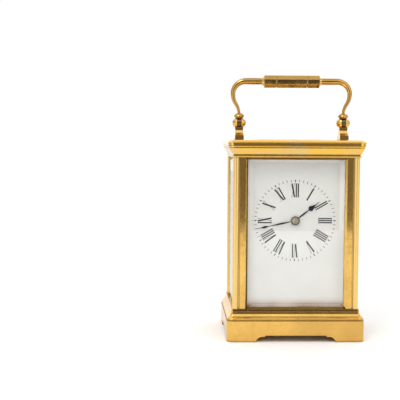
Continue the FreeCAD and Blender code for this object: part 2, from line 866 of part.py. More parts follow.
def make_pillar_screws():
    pieces = []
    for side_x, side_y in CORNERS.values():
        at = f"{side_x} * {SCREW_X}", f"{side_y} * {SCREW_Y}"
        pieces.append(slotted_screw(
            "pillar_screw_radius", "base_deck + pillar_screw_grip", *at, "base_height - base_deck"
        ))
        stud = cylinder(
            "pillar_screw_radius", "pillar_screw_grip + pillar_stud_rise",
            *at, f"{CORNICE_FOOT} - pillar_screw_grip",
        )
        pieces.append(stud)
    sub_part(group(pieces), "pillar_screws")


def make_top():
    top = body("top_frame")
    bind(top, {"Placement.Base.z": CORNICE_FOOT})
    core = sketch_on(top, "XY_Plane")
    rectangle(core, f"({HALF_WIDTH} - moulding_root / 2)", f"({HALF_DEPTH} - moulding_root / 2)")
    pad(top, core, "cornice_height")
    neck_top = "(neck_lip + neck_bead_height)"
    bevel_start = f"({neck_top} + neck_groove_height)"
    bevel_top = f"({bevel_start} + bevel_height)"
    bead_foot = f"({bevel_top} + bead_groove_height)"
    bead_top = f"({bead_foot} + bead_height)"
    band_top = f"({bead_top} + band_height)"
    moulding(top, HALF_WIDTH, HALF_DEPTH, [
        ("0 - moulding_root", "0 * cornice_height"),
        ("neck_projection", "0 * cornice_height"),
        ("neck_projection", "neck_lip", "neck_bead_radius", -1, False),
        ("neck_projection", neck_top),
        ("neck_groove_projection", neck_top),
        ("neck_groove_projection", bevel_start),
        ("bevel_foot", bevel_start),
        ("bevel_projection", bevel_top),
        ("bevel_projection - bead_step", bevel_top),
        ("bevel_projection - bead_step", bead_foot),
        ("bevel_projection", bead_foot, "bead_bulge_radius", -1, False),
        ("bevel_projection", bead_top),
        ("band_projection", bead_top),
        ("band_projection", band_top),
        ("cornice_projection", band_top),
        ("cornice_projection", f"{band_top} + ovolo_lip", "ovolo_radius", -1, False),
        ("0 - moulding_root", "cornice_height"),
    ])
    hollow = sketch_on(top, "XY_Plane")
    rectangle(hollow, f"({HALF_WIDTH} - rim_width)", f"({HALF_DEPTH} - rim_width)")
    pocket(top, hollow, "cornice_height - ceiling", upwards=True)
    rebate = sketch_on(top, "XY_Plane")
    rectangle(rebate, "top_window_width / 2 + top_rebate", "top_window_depth / 2 + top_rebate")
    pocket(top, rebate, "cornice_height - ceiling + glass_edge + glass_play", upwards=True)
    window = sketch_on(top, "XY_Plane")
    rounded_rectangle(window, "top_window_width / 2", "top_window_depth / 2", "top_window_radius")
    pocket(top, window)
    slots = sketch_on(top, "XY_Plane")
    glass_slots(slots)
    pocket(top, slots, "slot_depth", upwards=True)
    studs = sketch_on(top, "XY_Plane")
    for side_x, side_y in CORNERS.values():
        circle(studs, "pillar_screw_radius", f"{side_x} * {SCREW_X}", f"{side_y} * {SCREW_Y}")
    pocket(top, studs, "pillar_stud_rise", upwards=True)
    posts = sketch_on(top, "XY_Plane", "cornice_height")
    for side in (-1, 1):
        circle(posts, "post_stud_radius", f"{side} * {POST_X}")
    pocket(top, posts, "post_stud_length")
    pin_hole = sketch_on(top, "XY_Plane")
    circle(pin_hole, "hinge_pin_radius", HINGE_X, DOOR_Y)
    pocket(top, pin_hole, "hinge_pin_bite", upwards=True)


# ---------------------------------------------------------------- case: glasses

def bevelled_glass(label, width, height, bite, x, y, z, turn):
    """A glass whose bevelled face looks along local +Y, and whose flat back is at local y = 0.

    Its thin edge sits in a slot as deep as the bite, and the bevel starts at the slot's mouth.
    """
    edge = doc.addObject("Part::Box", "glass_edge")
    bind(edge, {"Length": width, "Width": "glass_edge", "Height": height})
    bind(edge, {"Placement.Base.x": f"0 - ({width}) / 2", "Placement.Base.z": f"0 - ({height}) / 2"})
    face = doc.addObject("Part::Wedge", "glass_face")
    bevel = f"({bite} + glass_bevel)"
    bind(face, {
        "Xmin": f"{bite} - ({width}) / 2",
        "Xmax": f"({width}) / 2 - {bite}",
        "Zmin": f"{bite} - ({height}) / 2",
        "Zmax": f"({height}) / 2 - {bite}",
        "Ymin": "glass_edge",
        "Ymax": "glass_thickness",
        "X2min": f"{bevel} - ({width}) / 2",
        "X2max": f"({width}) / 2 - {bevel}",
        "Z2min": f"{bevel} - ({height}) / 2",
        "Z2max": f"({height}) / 2 - {bevel}",
    })
    return sub_part(move(fuse([edge, face]), x, y, z, turn), label)


def make_glasses():
    bite = "(slot_depth - glass_play)"
    height = f"({PILLAR_HEIGHT} + 2 * {bite})"
    middle = f"(base_height + {PILLAR_HEIGHT} / 2)"
    inner_face = f"({SLOT_BACK} - glass_play / 2)"
    bevelled_glass(
        "front_glass", f"(2 * {OPENING_HALF_WIDTH} + 2 * {bite})", height, bite,
        "0", f"{inner_face} - {HALF_DEPTH}", middle, Rotation(Vector(0, 0, 1), 180),
    )
    for side, label, angle in ((-1, "left_glass", 90), (1, "right_glass", -90)):
        bevelled_glass(
            label, f"(2 * {OPENING_HALF_DEPTH} + 2 * {bite})", height, bite,
            f"{side} * ({HALF_WIDTH} - {inner_face})", "0", middle,
            Rotation(Vector(0, 0, 1), angle),
        )
    bevelled_glass(
        "top_glass",
        "top_window_width + 2 * top_rebate - 2 * glass_play",
        "top_window_depth + 2 * top_rebate - 2 * glass_play",
        "(top_rebate + top_window_radius * (1 - cos(45)))",
        "0", "0", CASE_CEILING, Rotation(Vector(1, 0, 0), 90),
    )


# ---------------------------------------------------------------- rear door

def make_door():
    door = body("door_frame")
    height = f"({PILLAR_HEIGHT} - 2 * door_end_gap)"
    bind(door, {"Placement.Base.z": "base_height + door_end_gap"})
    section = sketch_on(door, "XY_Plane")
    half = "(door_thickness / 2)"
    outline(section, [
        (HINGE_X, f"{HALF_DEPTH}", half, 1, False),
        (f"{HINGE_X} - {half}", DOOR_Y, half, 1, False),
        (HINGE_X, f"{HALF_DEPTH} - door_thickness"),
        (DOOR_HALF_WIDTH, f"{HALF_DEPTH} - door_thickness"),
        (DOOR_HALF_WIDTH, HALF_DEPTH),
    ])
    pad(door, section, height)
    window = sketch_on(door, "XZ_Plane")
    half_width = f"({DOOR_HALF_WIDTH} - door_frame_width)"
    half_height = f"({height} / 2 - door_frame_width)"
    rectangle(window, half_width, half_height, "0", f"{height} / 2")
    pocket(door, window)
    rebate = sketch_on(door, "XZ_Plane", f"door_thickness - {HALF_DEPTH}")
    rectangle(
        rebate, f"{half_width} + door_rebate", f"{half_height} + door_rebate", "0", f"{height} / 2"
    )
    pocket(door, rebate, "glass_edge + glass_play")
    lower = sketch_on(door, "XY_Plane")
    circle(lower, HINGE_HOLE, HINGE_X, DOOR_Y)
    pocket(door, lower, "hinge_pin_bite + hinge_play", upwards=True)
    upper = sketch_on(door, "XY_Plane", height)
    circle(upper, HINGE_HOLE, HINGE_X, DOOR_Y)
    pocket(door, upper, "hinge_pin_bite + hinge_play")
    shank = sketch_on(door, "XZ_Plane")
    circle(shank, "knob_neck_radius", f"{DOOR_HALF_WIDTH} - knob_inset", "knob_rise")
    pocket(door, shank)
    bevelled_glass(
        "door_glass",
        f"(2 * ({half_width} + door_rebate - glass_play))",
        f"(2 * ({half_height} + door_rebate - glass_play))",
        "(door_rebate - glass_play)",
        "0", f"{HALF_DEPTH} - door_thickness", f"base_height + {PILLAR_HEIGHT} / 2", Rotation(),
    )
    knob = turned([
        ("0 - door_thickness", "door_thickness + knob_neck", "knob_neck_radius"),
        ("knob_neck", "knob_head", "knob_radius"),
    ], f"{DOOR_HALF_WIDTH} - knob_inset", HALF_DEPTH, "base_height + door_end_gap + knob_rise", TO_BACK)
    sub_part(knob, "door_knob")
    reach = "(2 * hinge_pin_bite + door_end_gap - hinge_play)"
    pins = [
        cylinder("hinge_pin_radius", reach, HINGE_X, DOOR_Y, "base_height - hinge_pin_bite"),
        cylinder(
            "hinge_pin_radius", reach, HINGE_X, DOOR_Y,
            f"{CORNICE_FOOT} - door_end_gap - hinge_pin_bite + hinge_play",
        ),
    ]
    sub_part(group(pins), "door_hinge_pins")


# ---------------------------------------------------------------- handle

def post_outline(owner, role, half_foot, half_top, arc_radius):
    """One upright outline of a handle post: a foot, a hollow flare and a narrower top."""
    sketch = sketch_on(owner, role)
    flare_top = "(post_foot + post_flare)"
    outline(sketch, [
        (f"0 - ({half_foot})", "0 * post_foot"),
        (half_foot, "0 * post_foot"),
        (half_foot, "post_foot", arc_radius, 1, False),
        (half_top, flare_top),
        (half_top, POST_HEIGHT),
        (f"0 - ({half_top})", POST_HEIGHT),
        (f"0 - ({half_top})", flare_top, arc_radius, 1, False),
        (f"0 - ({half_foot})", "post_foot"),
    ])
    return sketch


def revolved(label, corners, axis):
    """A solid turned from an upright outline about its own horizontal or vertical axis."""
    owner = doc.addObject("PartDesign::Body", label)
    section = sketch_on(owner, "XZ_Plane")
    outline(section, corners)
    item = owner.newObject("PartDesign::Revolution", "revolution")
    item.Profile = section
    item.ReferenceAxis = (section, [axis])
    item.Angle = 360
    return owner


def knuckle_shape(play):
    """The barrel-shaped knuckle, lying along X and larger all round by a play."""
    swell = "(knuckle_radius - knuckle_end_radius)"
    end_radius = f"(knuckle_end_radius + {play})"
    return revolved("knuckle", [
        ("0 - knuckle_length / 2", "0 * knuckle_radius"),
        ("knuckle_length / 2", "0 * knuckle_radius"),
        (
            "knuckle_length / 2", end_radius,
            f"((knuckle_length / 2) ^ 2 + {swell} ^ 2) / (2 * {swell})", -1, False,
        ),
        ("0 - knuckle_length / 2", end_radius),
    ], "H_Axis")


def make_post(side, name):
    """A post: flared foot and a slotted knuckle on it, with a threaded stud beneath."""
    front = doc.addObject("PartDesign::Body", "post_front")
    pad(front, post_outline(
        front, "XZ_Plane", "(post_width / 2)", "(post_top_width / 2)", "post_flare_radius"
    ), "post_depth", middle=True)
    flank = doc.addObject("PartDesign::Body", "post_side")
    pad(flank, post_outline(
        flank, "YZ_Plane", "(post_depth / 2)", "(post_top_depth / 2)", "post_side_radius"
    ), "post_width", middle=True)
    foot = doc.addObject("Part::Common", "post_foot")
    foot.Base = front
    foot.Tool = flank
    knuckle = move(knuckle_shape("0 * collar_gap"), z=PIVOT_RISE)
    stud = cylinder("post_stud_radius", "post_stud_length", z="0 - post_stud_length")
    slot = box(
        "knuckle_slot", "2 * knuckle_radius", "2 * knuckle_radius",
        z=f"{PIVOT_RISE} - knuckle_radius",
    )
    slot_foot = cylinder(
        f"{EYE_RADIUS} + tongue_play", "knuckle_slot", "0 - knuckle_slot / 2", "0",
        PIVOT_RISE, TO_RIGHT,
    )
    bore = cylinder(
        "pivot_pin_radius", "knuckle_length", "0 - knuckle_length / 2", "0", PIVOT_RISE, TO_RIGHT
    )
    post = cut(fuse([foot, cut(knuckle, [slot]), stud]), [slot_foot, bore])
    sub_part(move(post, f"{side} * {POST_X}", "0", CASE_TOP), f"handle_post_{name}")


def bail_path(side):
    """The middle line of a bail arm from its collar up to its end inside the grip.

    Two equal arcs make the swan neck, a larger one the shoulder, then a straight end.
    """
    start_x = size(POST_X)
    start_z = size(
        f"{COLLAR_FOOT} + collar_rim + collar_dome / 2"
    )
    reach = start_x + size("bail_spread")
    bend = size("bail_bend")
    top = size(GRIP_HEIGHT)
    drop = top - bend - start_z
    half_turn = math.atan2(reach - start_x, drop)
    swan_radius = drop / (2 * math.sin(2 * half_turn))
    middle_x = (start_x + reach) / 2
    middle_z = start_z + drop / 2
    quarter = swan_radius * (1 - math.cos(half_turn))

    def point(x, z):
        return Vector(side * x, 0, z)

    lower_mid = point(
        start_x + quarter, start_z + swan_radius * math.sin(half_turn)
    )
    upper_mid = point(
        reach - quarter, start_z + drop - swan_radius * math.sin(half_turn)
    )
    shoulder_mid = point(
        reach - bend + bend * math.cos(math.pi / 4), top - bend + bend * math.sin(math.pi / 4)
    )
    lower = Part.Arc(point(start_x, start_z), lower_mid, point(middle_x, middle_z))
    upper = Part.Arc(point(middle_x, middle_z), upper_mid, point(reach, top - bend))
    shoulder = Part.Arc(point(reach, top - bend), shoulder_mid, point(reach - bend, top))
    end_x = size("grip_length / 2 + grip_bead")
    straight = Part.LineSegment(point(reach - bend, top), point(end_x, top))
    return [piece.toShape() for piece in (lower, upper, shoulder, straight)]


def tapered_rod(edges, radii):
    """A round rod along joined edges; radii are its sizes at the edges' ends."""
    places = [(edge, edge.FirstParameter) for edge in edges]
    places.append((edges[-1], edges[-1].LastParameter))
    shell = Part.BRepOffsetAPI.MakePipeShell(Part.Wire(edges))
    for (edge, place), radius in zip(places, radii):
        ring = Part.Circle(edge.valueAt(place), edge.tangentAt(place), radius)
        shell.add(Part.Wire(ring.toShape()))
    shell.build()
    shell.makeSolid()
    return shell.shape()


def make_bail(side, name):
    """A bail arm: a tongue in the knuckle's slot, a collar above it, and the swan-necked rod."""
    centre = f"{side} * {POST_X}"
    edges = bail_path(side)
    rod = feature(tapered_rod(edges, [
        size("rod_foot_radius"),
        size("(rod_foot_radius + rod_side_radius) / 2"),
        size("rod_side_radius"),
        size("rod_end_radius"),
        size("rod_end_radius"),
    ]))
    collar = revolved("collar", [
        ("0 * collar_radius", "0 * collar_rim"),
        ("collar_foot_radius", "0 * collar_rim"),
        ("collar_radius", "collar_rim", "collar_dome_radius", -1, False),
        ("collar_top_radius", "collar_rim + collar_dome"),
        ("0 * collar_radius", "collar_rim + collar_dome"),
    ], "V_Axis")
    move(collar, centre, "0", COLLAR_FOOT)
    hollow = move(knuckle_shape("collar_gap"), centre, "0", PIVOT_HEIGHT)
    width = "(knuckle_slot - 2 * tongue_play)"
    blade = box(
        width, "tongue_width", "knuckle_radius + collar_gap + collar_rim / 2",
        centre, "0", PIVOT_HEIGHT,
    )
    eye = cylinder(
        EYE_RADIUS, width, f"{centre} - {width} / 2", "0", PIVOT_HEIGHT, TO_RIGHT
    )
    bore = cylinder(
        "pivot_pin_radius + pivot_play", f"2 * {width}", f"{centre} - {width}", "0",
        PIVOT_HEIGHT, TO_RIGHT,
    )
    end = cylinder(
        "grip_socket_radius", "grip_socket",
        f"{side} * (grip_length / 2 + grip_bead - grip_socket / 2) - grip_socket / 2", "0",
        GRIP_HEIGHT, TO_RIGHT,
    )
    arm = cut(fuse([rod, cut(collar, [hollow]), blade, eye, end]), [bore])
    sub_part(arm, f"handle_bail_{name}")


GRIP_SIDES = 8


def make_grip():
    """The eight-sided grip, with a turned bead at each end and two grooves round it."""
    facet_turn = 180 / GRIP_SIDES + size("grip_twist")

    def facets(middle, length):
        item = doc.addObject("Part::Prism", "facets")
        item.Polygon = GRIP_SIDES
        bind(item, {"Circumradius": "grip_radius", "Height": length})
        turn = TO_RIGHT * Rotation(Vector(0, 0, 1), facet_turn)
        return move(item, f"({middle}) - ({length}) / 2", turn=turn)

    centre_length = "(grip_length - 2 * (grip_cap + grip_groove))"
    core_length = "(grip_length - grip_cap)"
    pieces = [
        facets("0", centre_length),
        cylinder(
            "grip_radius - grip_groove_depth", core_length, f"0 - {core_length} / 2", turn=TO_RIGHT
        ),
    ]
    socket_length = "(grip_socket + grip_socket_play)"
    sockets = []
    for side in (-1, 1):
        pieces.append(facets(f"{side} * (grip_length - grip_cap) / 2", "grip_cap"))
        bead_turn = Rotation(Vector(0, 1, 0), side * 90)
        end = f"{side} * grip_length / 2"
        pieces.append(cone("grip_bead_radius", "grip_bead_end", "grip_bead", end, turn=bead_turn))
        sockets.append(cylinder(
            "grip_socket_radius", socket_length, f"{end} + {side} * (grip_bead - {socket_length})",
            turn=bead_turn,
        ))
    grip = cut(fuse(pieces), sockets)
    sub_part(move(grip, "0", "0", GRIP_HEIGHT), "handle_grip")


def make_handle():
    for side, name in ((-1, "left"), (1, "right")):
        make_post(side, name)
        make_bail(side, name)
    make_grip()
    length = "(knuckle_length - 2 * pivot_pin_inset)"
    pins = [
        cylinder(
            "pivot_pin_radius", length, f"{side} * {POST_X} - {length} / 2", "0",
            PIVOT_HEIGHT, TO_RIGHT,
        )
        for side in (-1, 1)
    ]
    sub_part(group(pins), "handle_pivot_pins")


# ---------------------------------------------------------------- toothed wheels

def involute(angle):
    return math.tan(angle) - angle


def polar(radius, angle, height=0.0):
    """A point of a wheel, its angle measured from the wheel's own +Y towards its own +X."""
    return Vector(radius * math.sin(angle), radius * math.cos(angle), height)


def tooth_points(teeth, module, addendum, dedendum):
    """One tooth as (radius, half angle) pairs, from its root up one flank to its tip."""
    pitch_radius = module * teeth / 2
    alpha = math.radians(size("pressure_angle"))
    base_radius = pitch_radius * math.cos(alpha)
    half_pitch = math.pi / (2 * teeth) * (1 - size("tooth_backlash"))
    tip_radius = pitch_radius + addendum * module
    root_radius = pitch_radius - dedendum * module

    def half_angle(radius):
        pressure = math.acos(min(1.0, base_radius / radius))
        return half_pitch + involute(alpha) - involute(pressure)

    radii = [max(base_radius, root_radius), pitch_radius, tip_radius]
    points = [(radius, half_angle(radius)) for radius in radii]
    if root_radius < base_radius:
        points.insert(0, (root_radius, points[0][1]))
    return points


def gear_face(teeth, module, phase, addendum=None):
    """A toothed outline with a tooth's middle at the phase angle."""
    flank = tooth_points(
        teeth, module, addendum or size("tooth_addendum"), size("tooth_dedendum")
    )
    points = []
    for number in range(teeth):
        middle = phase + 2 * math.pi * number / teeth
        points += [polar(radius, middle - half) for radius, half in flank]
        points += [polar(radius, middle + half) for radius, half in reversed(flank)]
    return Part.Face(Part.makePolygon(points + points[:1]))


def bearing_of(point, other):
    """The angle, clockwise from straight up, at which one arbor sees another."""
    run = size(f"({other[0]}) - ({point[0]})")
    rise = size(f"({other[1]}) - ({point[1]})")
    return math.atan2(run, rise)


def pinion_solid(leaves, module, facing, start, length):
    """A pinion with a gap between two leaves at the facing angle, along the arbor's +Z."""
    gap = facing + math.pi / leaves
    face = gear_face(leaves, module, gap)
    return face.extrude(Vector(0, 0, length)).translate(Vector(0, 0, start))


def window_tools(inner, outer, spokes, width, start, length):
    """The openings between a wheel's spokes, as solids to cut away."""
    ring = Part.makeCylinder(outer, length).cut(Part.makeCylinder(inner, length))
    for number in range(spokes):
        bar = Part.makeBox(outer + 1, width, length, Vector(0, -width / 2, 0))
        bar.rotate(Vector(0, 0, 0), Vector(0, 0, 1), 360 * number / spokes)
        ring = ring.cut(bar)
    return ring.translate(Vector(0, 0, start))


def wheel_solid(teeth, module, facing, start, thickness, bore, spokes=5):
    """A crossed-out wheel with a tooth's middle at the facing angle, along its arbor's +Z."""
    face = gear_face(teeth, module, facing)
    disc = face.extrude(Vector(0, 0, thickness)).translate(Vector(0, 0, start))
    root = module * (teeth / 2 - size("tooth_dedendum"))
    if spokes:
        disc = disc.cut(window_tools(
            size("wheel_hub_radius"), root - size("wheel_rim"), spokes, size("spoke_width"),
            start, thickness,
        ))
    return disc.cut(Part.makeCylinder(bore, thickness, Vector(0, 0, start)))


def facing(point, other):
    """The same angle in a wheel laid with TO_BACK, whose own +Y points down."""
    return math.pi - bearing_of(point, other)


# ---------------------------------------------------------------- movement: frame and dial

def make_plate(label, start, holes):
    """A movement plate standing on the base, with holes of (point, radius)."""
    plate = body(label)
    shape = sketch_on(plate, "XZ_Plane", f"0 - ({start})")
    outline(shape, [
        ("0 - plate_width / 2", "base_height"),
        ("plate_width / 2", "base_height"),
        ("plate_width / 2", f"{PLATE_TOP} - plate_corner"),
        ("plate_width / 2 - plate_corner", PLATE_TOP),
        ("plate_corner - plate_width / 2", PLATE_TOP),
        ("0 - plate_width / 2", f"{PLATE_TOP} - plate_corner"),
    ])
    item = pad(plate, shape, "plate_thickness")
    item.Reversed = True
    drilled = sketch_on(plate, "XZ_Plane")
    for point, radius in holes:
        circle(drilled, radius, point[0], point[1])
    pocket(plate, drilled)


def make_frame():
    shared = [
        *[(point, "pivot_radius + running_play") for point in (INTERMEDIATE, THIRD, CONTRATE)],
        (CENTRE, "centre_radius + running_play"),
        (BARREL, "barrel_pivot_radius + running_play"),
        *[(place, "plate_screw_radius") for place in PLATE_PILLARS],
    ]
    feet = [(place, "dial_foot_radius") for place in DIAL_FEET]
    make_plate("front_plate", PLATE_FRONT, [*shared, *feet, (MINUTE, "pivot_radius")])
    make_plate("back_plate", GAP_BACK, [*shared, (CLICK, "click_screw_radius")])
    pillars = []
    screws = []
    for x, z in PLATE_PILLARS:
        post = cylinder("plate_pillar_radius", "plate_gap", x, GAP_FRONT, z, TO_BACK)
        depth = "(plate_screw_length - plate_thickness)"
        bores = [
            cylinder("plate_screw_radius", depth, x, GAP_FRONT, z, TO_BACK),
            cylinder("plate_screw_radius", depth, x, f"{GAP_BACK} - {depth}", z, TO_BACK),
        ]
        if z == PLATE_PILLARS[0][1]:
            bores.append(cylinder("seat_screw_radius", "plate_pillar_inset", x, PLATE_MIDDLE,
                                  "base_height"))
        pillars.append(cut(post, bores))
        for y, turn in ((PLATE_FRONT, TO_BACK), (PLATE_BACK, TO_FRONT)):
            screws.append(slotted_screw(
                "plate_screw_radius", "plate_screw_length", x, y, z, turn, "plate_screw_head"
            ))
    sub_part(group(pillars), "plate_pillars")
    sub_part(group(screws), "plate_screws")
    seats = [
        slotted_screw(
            "seat_screw_radius", "base_deck + plate_pillar_inset", x, PLATE_MIDDLE,
            "base_height - base_deck", head_radius="seat_screw_head",
        )
        for x, _ in PLATE_PILLARS[::2]
    ]
    sub_part(group(seats), "seat_screws")


def make_dial():
    dial = body("dial")
    face = sketch_on(dial, "XZ_Plane", f"0 - ({DIAL_FACE})")
    rectangle(
        face, f"{HALF_WIDTH} - dial_inset", f"{PILLAR_HEIGHT} / 2 - dial_gap",
        "0", f"base_height + {PILLAR_HEIGHT} / 2",
    )
    circle(face, "dial_hole_radius", *CENTRE)
    item = pad(dial, face, "dial_thickness")
    item.Reversed = True
    feet = [
        cylinder(
            "dial_foot_radius", "dial_train_gap + plate_thickness + dial_foot_tail",
            x, DIAL_BACK, z, TO_BACK,
        )
        for x, z in DIAL_FEET
    ]
    sub_part(group(feet), "dial_feet")


# ---------------------------------------------------------------- movement: going train

def on_arbor(item, point, label):
    """Places a train piece, built along its own +Z from the front plate's inner face."""
    return sub_part(move(item, point[0], GAP_FRONT, point[1], TO_BACK), label)


def make_arbor(label, point, wheel_point, leaves, module, start):
    """An arbor with its pinion cut from the solid, facing the wheel that drives it.

    It runs between the plates with a little end shake, on a thin pivot in each plate.
    """
    steps = [
        ("2 * running_play", "plate_gap - 4 * running_play", "arbor_radius"),
        ("0 - plate_thickness", "plate_gap + 2 * plate_thickness", "pivot_radius"),
    ]
    rod = [
        Part.makeCylinder(size(radius), size(length), Vector(0, 0, size(begin)))
        for begin, length, radius in steps
    ]
    pinion = pinion_solid(
        int(size(leaves)), size(module), facing(point, wheel_point), size(start),
        size("pinion_length"),
    )
    shape = pinion.fuse(rod).removeSplitter()
    on_arbor(feature(shape), point, label)


def make_wheel(label, point, pinion_point, teeth, module, start, bore="arbor_radius"):
    """A crossed-out wheel on its arbor, facing the pinion that it drives."""
    shape = wheel_solid(
        int(size(teeth)), size(module), facing(point, pinion_point), size(start),
        size("wheel_thickness"), size(bore),
    )
    on_arbor(feature(shape), point, label)


SPIRAL_POINTS = 16      # on each turn


def spiral_strip(inner, outer, turns, thickness, height, start=0.0):
    """A flat spiral spring: a thin strip wound about the origin, standing along +Z."""
    count = int(turns * SPIRAL_POINTS)
    angles = [2 * math.pi * turns * step / count for step in range(count + 1)]

    def edge(offset):
        curve = Part.BSplineCurve()
        curve.interpolate([
            polar(inner + (outer - inner) * step / count + offset, angle, start)
            for step, angle in enumerate(angles)
        ])
        return curve

    near = edge(0).toShape()
    far = edge(thickness).toShape()
    starts = Part.makeLine(near.Vertexes[0].Point, far.Vertexes[0].Point)
    ends = Part.makeLine(near.Vertexes[-1].Point, far.Vertexes[-1].Point)
    wire = Part.Wire(Part.__sortEdges__([near, ends, far, starts]))
    return Part.Face(wire).extrude(Vector(0, 0, height))


def make_barrel():
    """The going barrel: drum with great wheel, cap, mainspring, and the arbor through them."""
    front = "barrel_front_gap"
    wheel_start = size(f"{front} + barrel_length")
    bore = size("barrel_pivot_radius + running_play")
    wheel = wheel_solid(
        int(size("barrel_teeth")), size("barrel_module"), facing(BARREL, INTERMEDIATE),
        wheel_start, size("great_wheel_thickness"), bore, spokes=0,
    )
    drum = Part.makeCylinder(size("barrel_radius"), size("barrel_length"), Vector(0, 0, size(front)))
    hollow = Part.makeCylinder(
        size("barrel_radius - barrel_wall"), size("barrel_length"), Vector(0, 0, size(front))
    )
    drum = drum.cut(hollow).fuse(wheel).removeSplitter()
    on_arbor(feature(drum), BARREL, "barrel_drum")
    cap = cut(
        cylinder("barrel_radius - barrel_wall", "barrel_wall", z=front),
        [cylinder("barrel_pivot_radius + running_play", "barrel_wall", z=front)],
    )
    on_arbor(cap, BARREL, "barrel_cap")
    inside = "(barrel_length - barrel_wall)"
    spring = spiral_strip(
        size("barrel_core_radius + 2 * spring_gap"),
        size("barrel_radius - barrel_wall - spring_thickness"),
        size("spring_turns"), size("spring_thickness"), size("spring_width"),
        size(f"{front} + barrel_wall + ({inside} - spring_width) / 2"),
    )
    on_arbor(feature(spring), BARREL, "mainspring")
    square_start = "plate_gap + plate_thickness + ratchet_gap + ratchet_thickness"
    square = box("square_size", "square_size", "square_length + square_neck", z=square_start)
    arbor = fuse([
        cylinder(
            "barrel_pivot_radius",
            "plate_thickness + plate_gap + plate_thickness + ratchet_gap + ratchet_thickness",
            z="0 - plate_thickness",
        ),
        cylinder("barrel_core_radius", f"{inside} - 2 * spring_gap",
                 z=f"{front} + barrel_wall + spring_gap"),
        square,
    ])
    on_arbor(arbor, BARREL, "barrel_arbor")


def make_ratchet_work():
    """Ratchet wheel on the barrel arbor, with its click, click screw and click spring."""
    start = size("plate_gap + plate_thickness + ratchet_gap")
    teeth = int(size("ratchet_teeth"))
    radius = size("ratchet_radius")
    depth = size("ratchet_tooth_depth")
    undercut = size("ratchet_tooth_face") * 2 * math.pi / teeth
    points = []
    for number in range(teeth):
        angle = 2 * math.pi * number / teeth
        points.append(polar(radius, angle, start))
        points.append(polar(radius - depth, angle + undercut, start))
    disc = Part.Face(Part.makePolygon(points + points[:1]))
    disc = disc.extrude(Vector(0, 0, size("ratchet_thickness")))
    disc = disc.cut(Part.makeCylinder(
        size("barrel_pivot_radius"), size("ratchet_thickness"), Vector(0, 0, start)
    ))
    on_arbor(feature(disc), BARREL, "ratchet_wheel")
    # The click is straight, from its screw towards a point just outside the ratchet's tips.
    height = f"{PLATE_BACK} + ratchet_gap"
    eye_radius = "(click_width / 2 + click_eye_wall)"
    eye = cylinder(eye_radius, "ratchet_thickness")
    arm = doc.addObject("Part::Wedge", "click_arm")
    bind(arm, {
        "Xmin": "0 - click_width / 2",
        "Xmax": "click_width / 2",
        "X2min": "0 - click_tip_width / 2",
        "X2max": "click_tip_width / 2",
        "Ymin": "0",
        "Ymax": "click_length",
        "Zmin": "0",
        "Zmax": "ratchet_thickness",
        "Z2min": "0",
        "Z2max": "ratchet_thickness",
    })
    bore = cylinder("click_screw_radius + running_play", "ratchet_thickness")
    lean = math.degrees(facing(CLICK, BARREL)) - size("click_lean")
    click = cut(fuse([eye, arm]), [bore])
    spin = Rotation(Vector(0, 0, 1), -lean)
    sub_part(move(click, CLICK[0], height, CLICK[1], TO_BACK * spin), "click")
    screw = slotted_screw(
        "click_screw_radius", "plate_thickness + ratchet_gap + ratchet_thickness + ratchet_gap",
        CLICK[0], f"{PLATE_BACK} + 2 * ratchet_gap + ratchet_thickness", CLICK[1], TO_FRONT,
    )
    sub_part(screw, "click_screw")
    blade_z = f"({CLICK[1]} + {eye_radius} + ratchet_gap)"
    blade = box(
        "click_spring_run + click_width", "ratchet_thickness - ratchet_gap", "click_spring_blade",
        f"({CLICK[0]} + (click_spring_run - click_width) / 2)",
        f"{PLATE_BACK} + (ratchet_thickness + ratchet_gap) / 2", blade_z,
    )
    foot = cylinder(
        "click_width / 2", "ratchet_thickness", f"({CLICK[0]} + click_spring_run)", PLATE_BACK,
        blade_z, TO_BACK,
    )
    sub_part(fuse([blade, foot]), "click_spring")


def make_going_train():
    make_barrel()
    make_ratchet_work()
    make_arbor("intermediate_arbor", INTERMEDIATE, BARREL, "intermediate_leaves", "barrel_module",
               "intermediate_pinion_start")
    make_wheel("intermediate_wheel", INTERMEDIATE, CENTRE, "intermediate_teeth",
               "intermediate_module", "intermediate_wheel_start")
    make_wheel("centre_wheel", CENTRE, THIRD, "centre_teeth", "centre_module",
               "centre_wheel_start", bore="centre_radius")
    middle = "(wheel_thickness / 2 - pinion_length / 2)"
    make_arbor("third_arbor", THIRD, CENTRE, "third_leaves", "centre_module",
               f"centre_wheel_start + {middle}")
    make_wheel("third_wheel", THIRD, CONTRATE, "third_teeth", "third_module",
               "third_wheel_start")
    make_arbor("contrate_arbor", CONTRATE, THIRD, "contrate_leaves", "third_module",
               f"third_wheel_start + {middle}")


def make_centre_arbor():
    """The centre arbor: its pinion, the hands' end in front and the setting square behind."""
    pinion_start = size("intermediate_wheel_start + wheel_thickness / 2 - pinion_length / 2")
    pinion = pinion_solid(
        int(size("centre_leaves")), size("intermediate_module"), facing(CENTRE, INTERMEDIATE),
        pinion_start, size("pinion_length"),
    )
    front = size(f"{GAP_FRONT} - {HAND_TIP}")
    back = size("plate_gap + plate_thickness + square_neck")
    rod = Part.makeCylinder(size("centre_radius"), front + back, Vector(0, 0, -front))
    side = size("setting_square_size")
    square = Part.makeBox(
        side, side, size("square_length + square_neck"),
        Vector(-side / 2, -side / 2, size("plate_gap + plate_thickness")),
    )
    shape = pinion.fuse([rod, square]).removeSplitter()
    on_arbor(feature(shape), CENTRE, "centre_arbor")


CONTRATE_SPOKES = 4


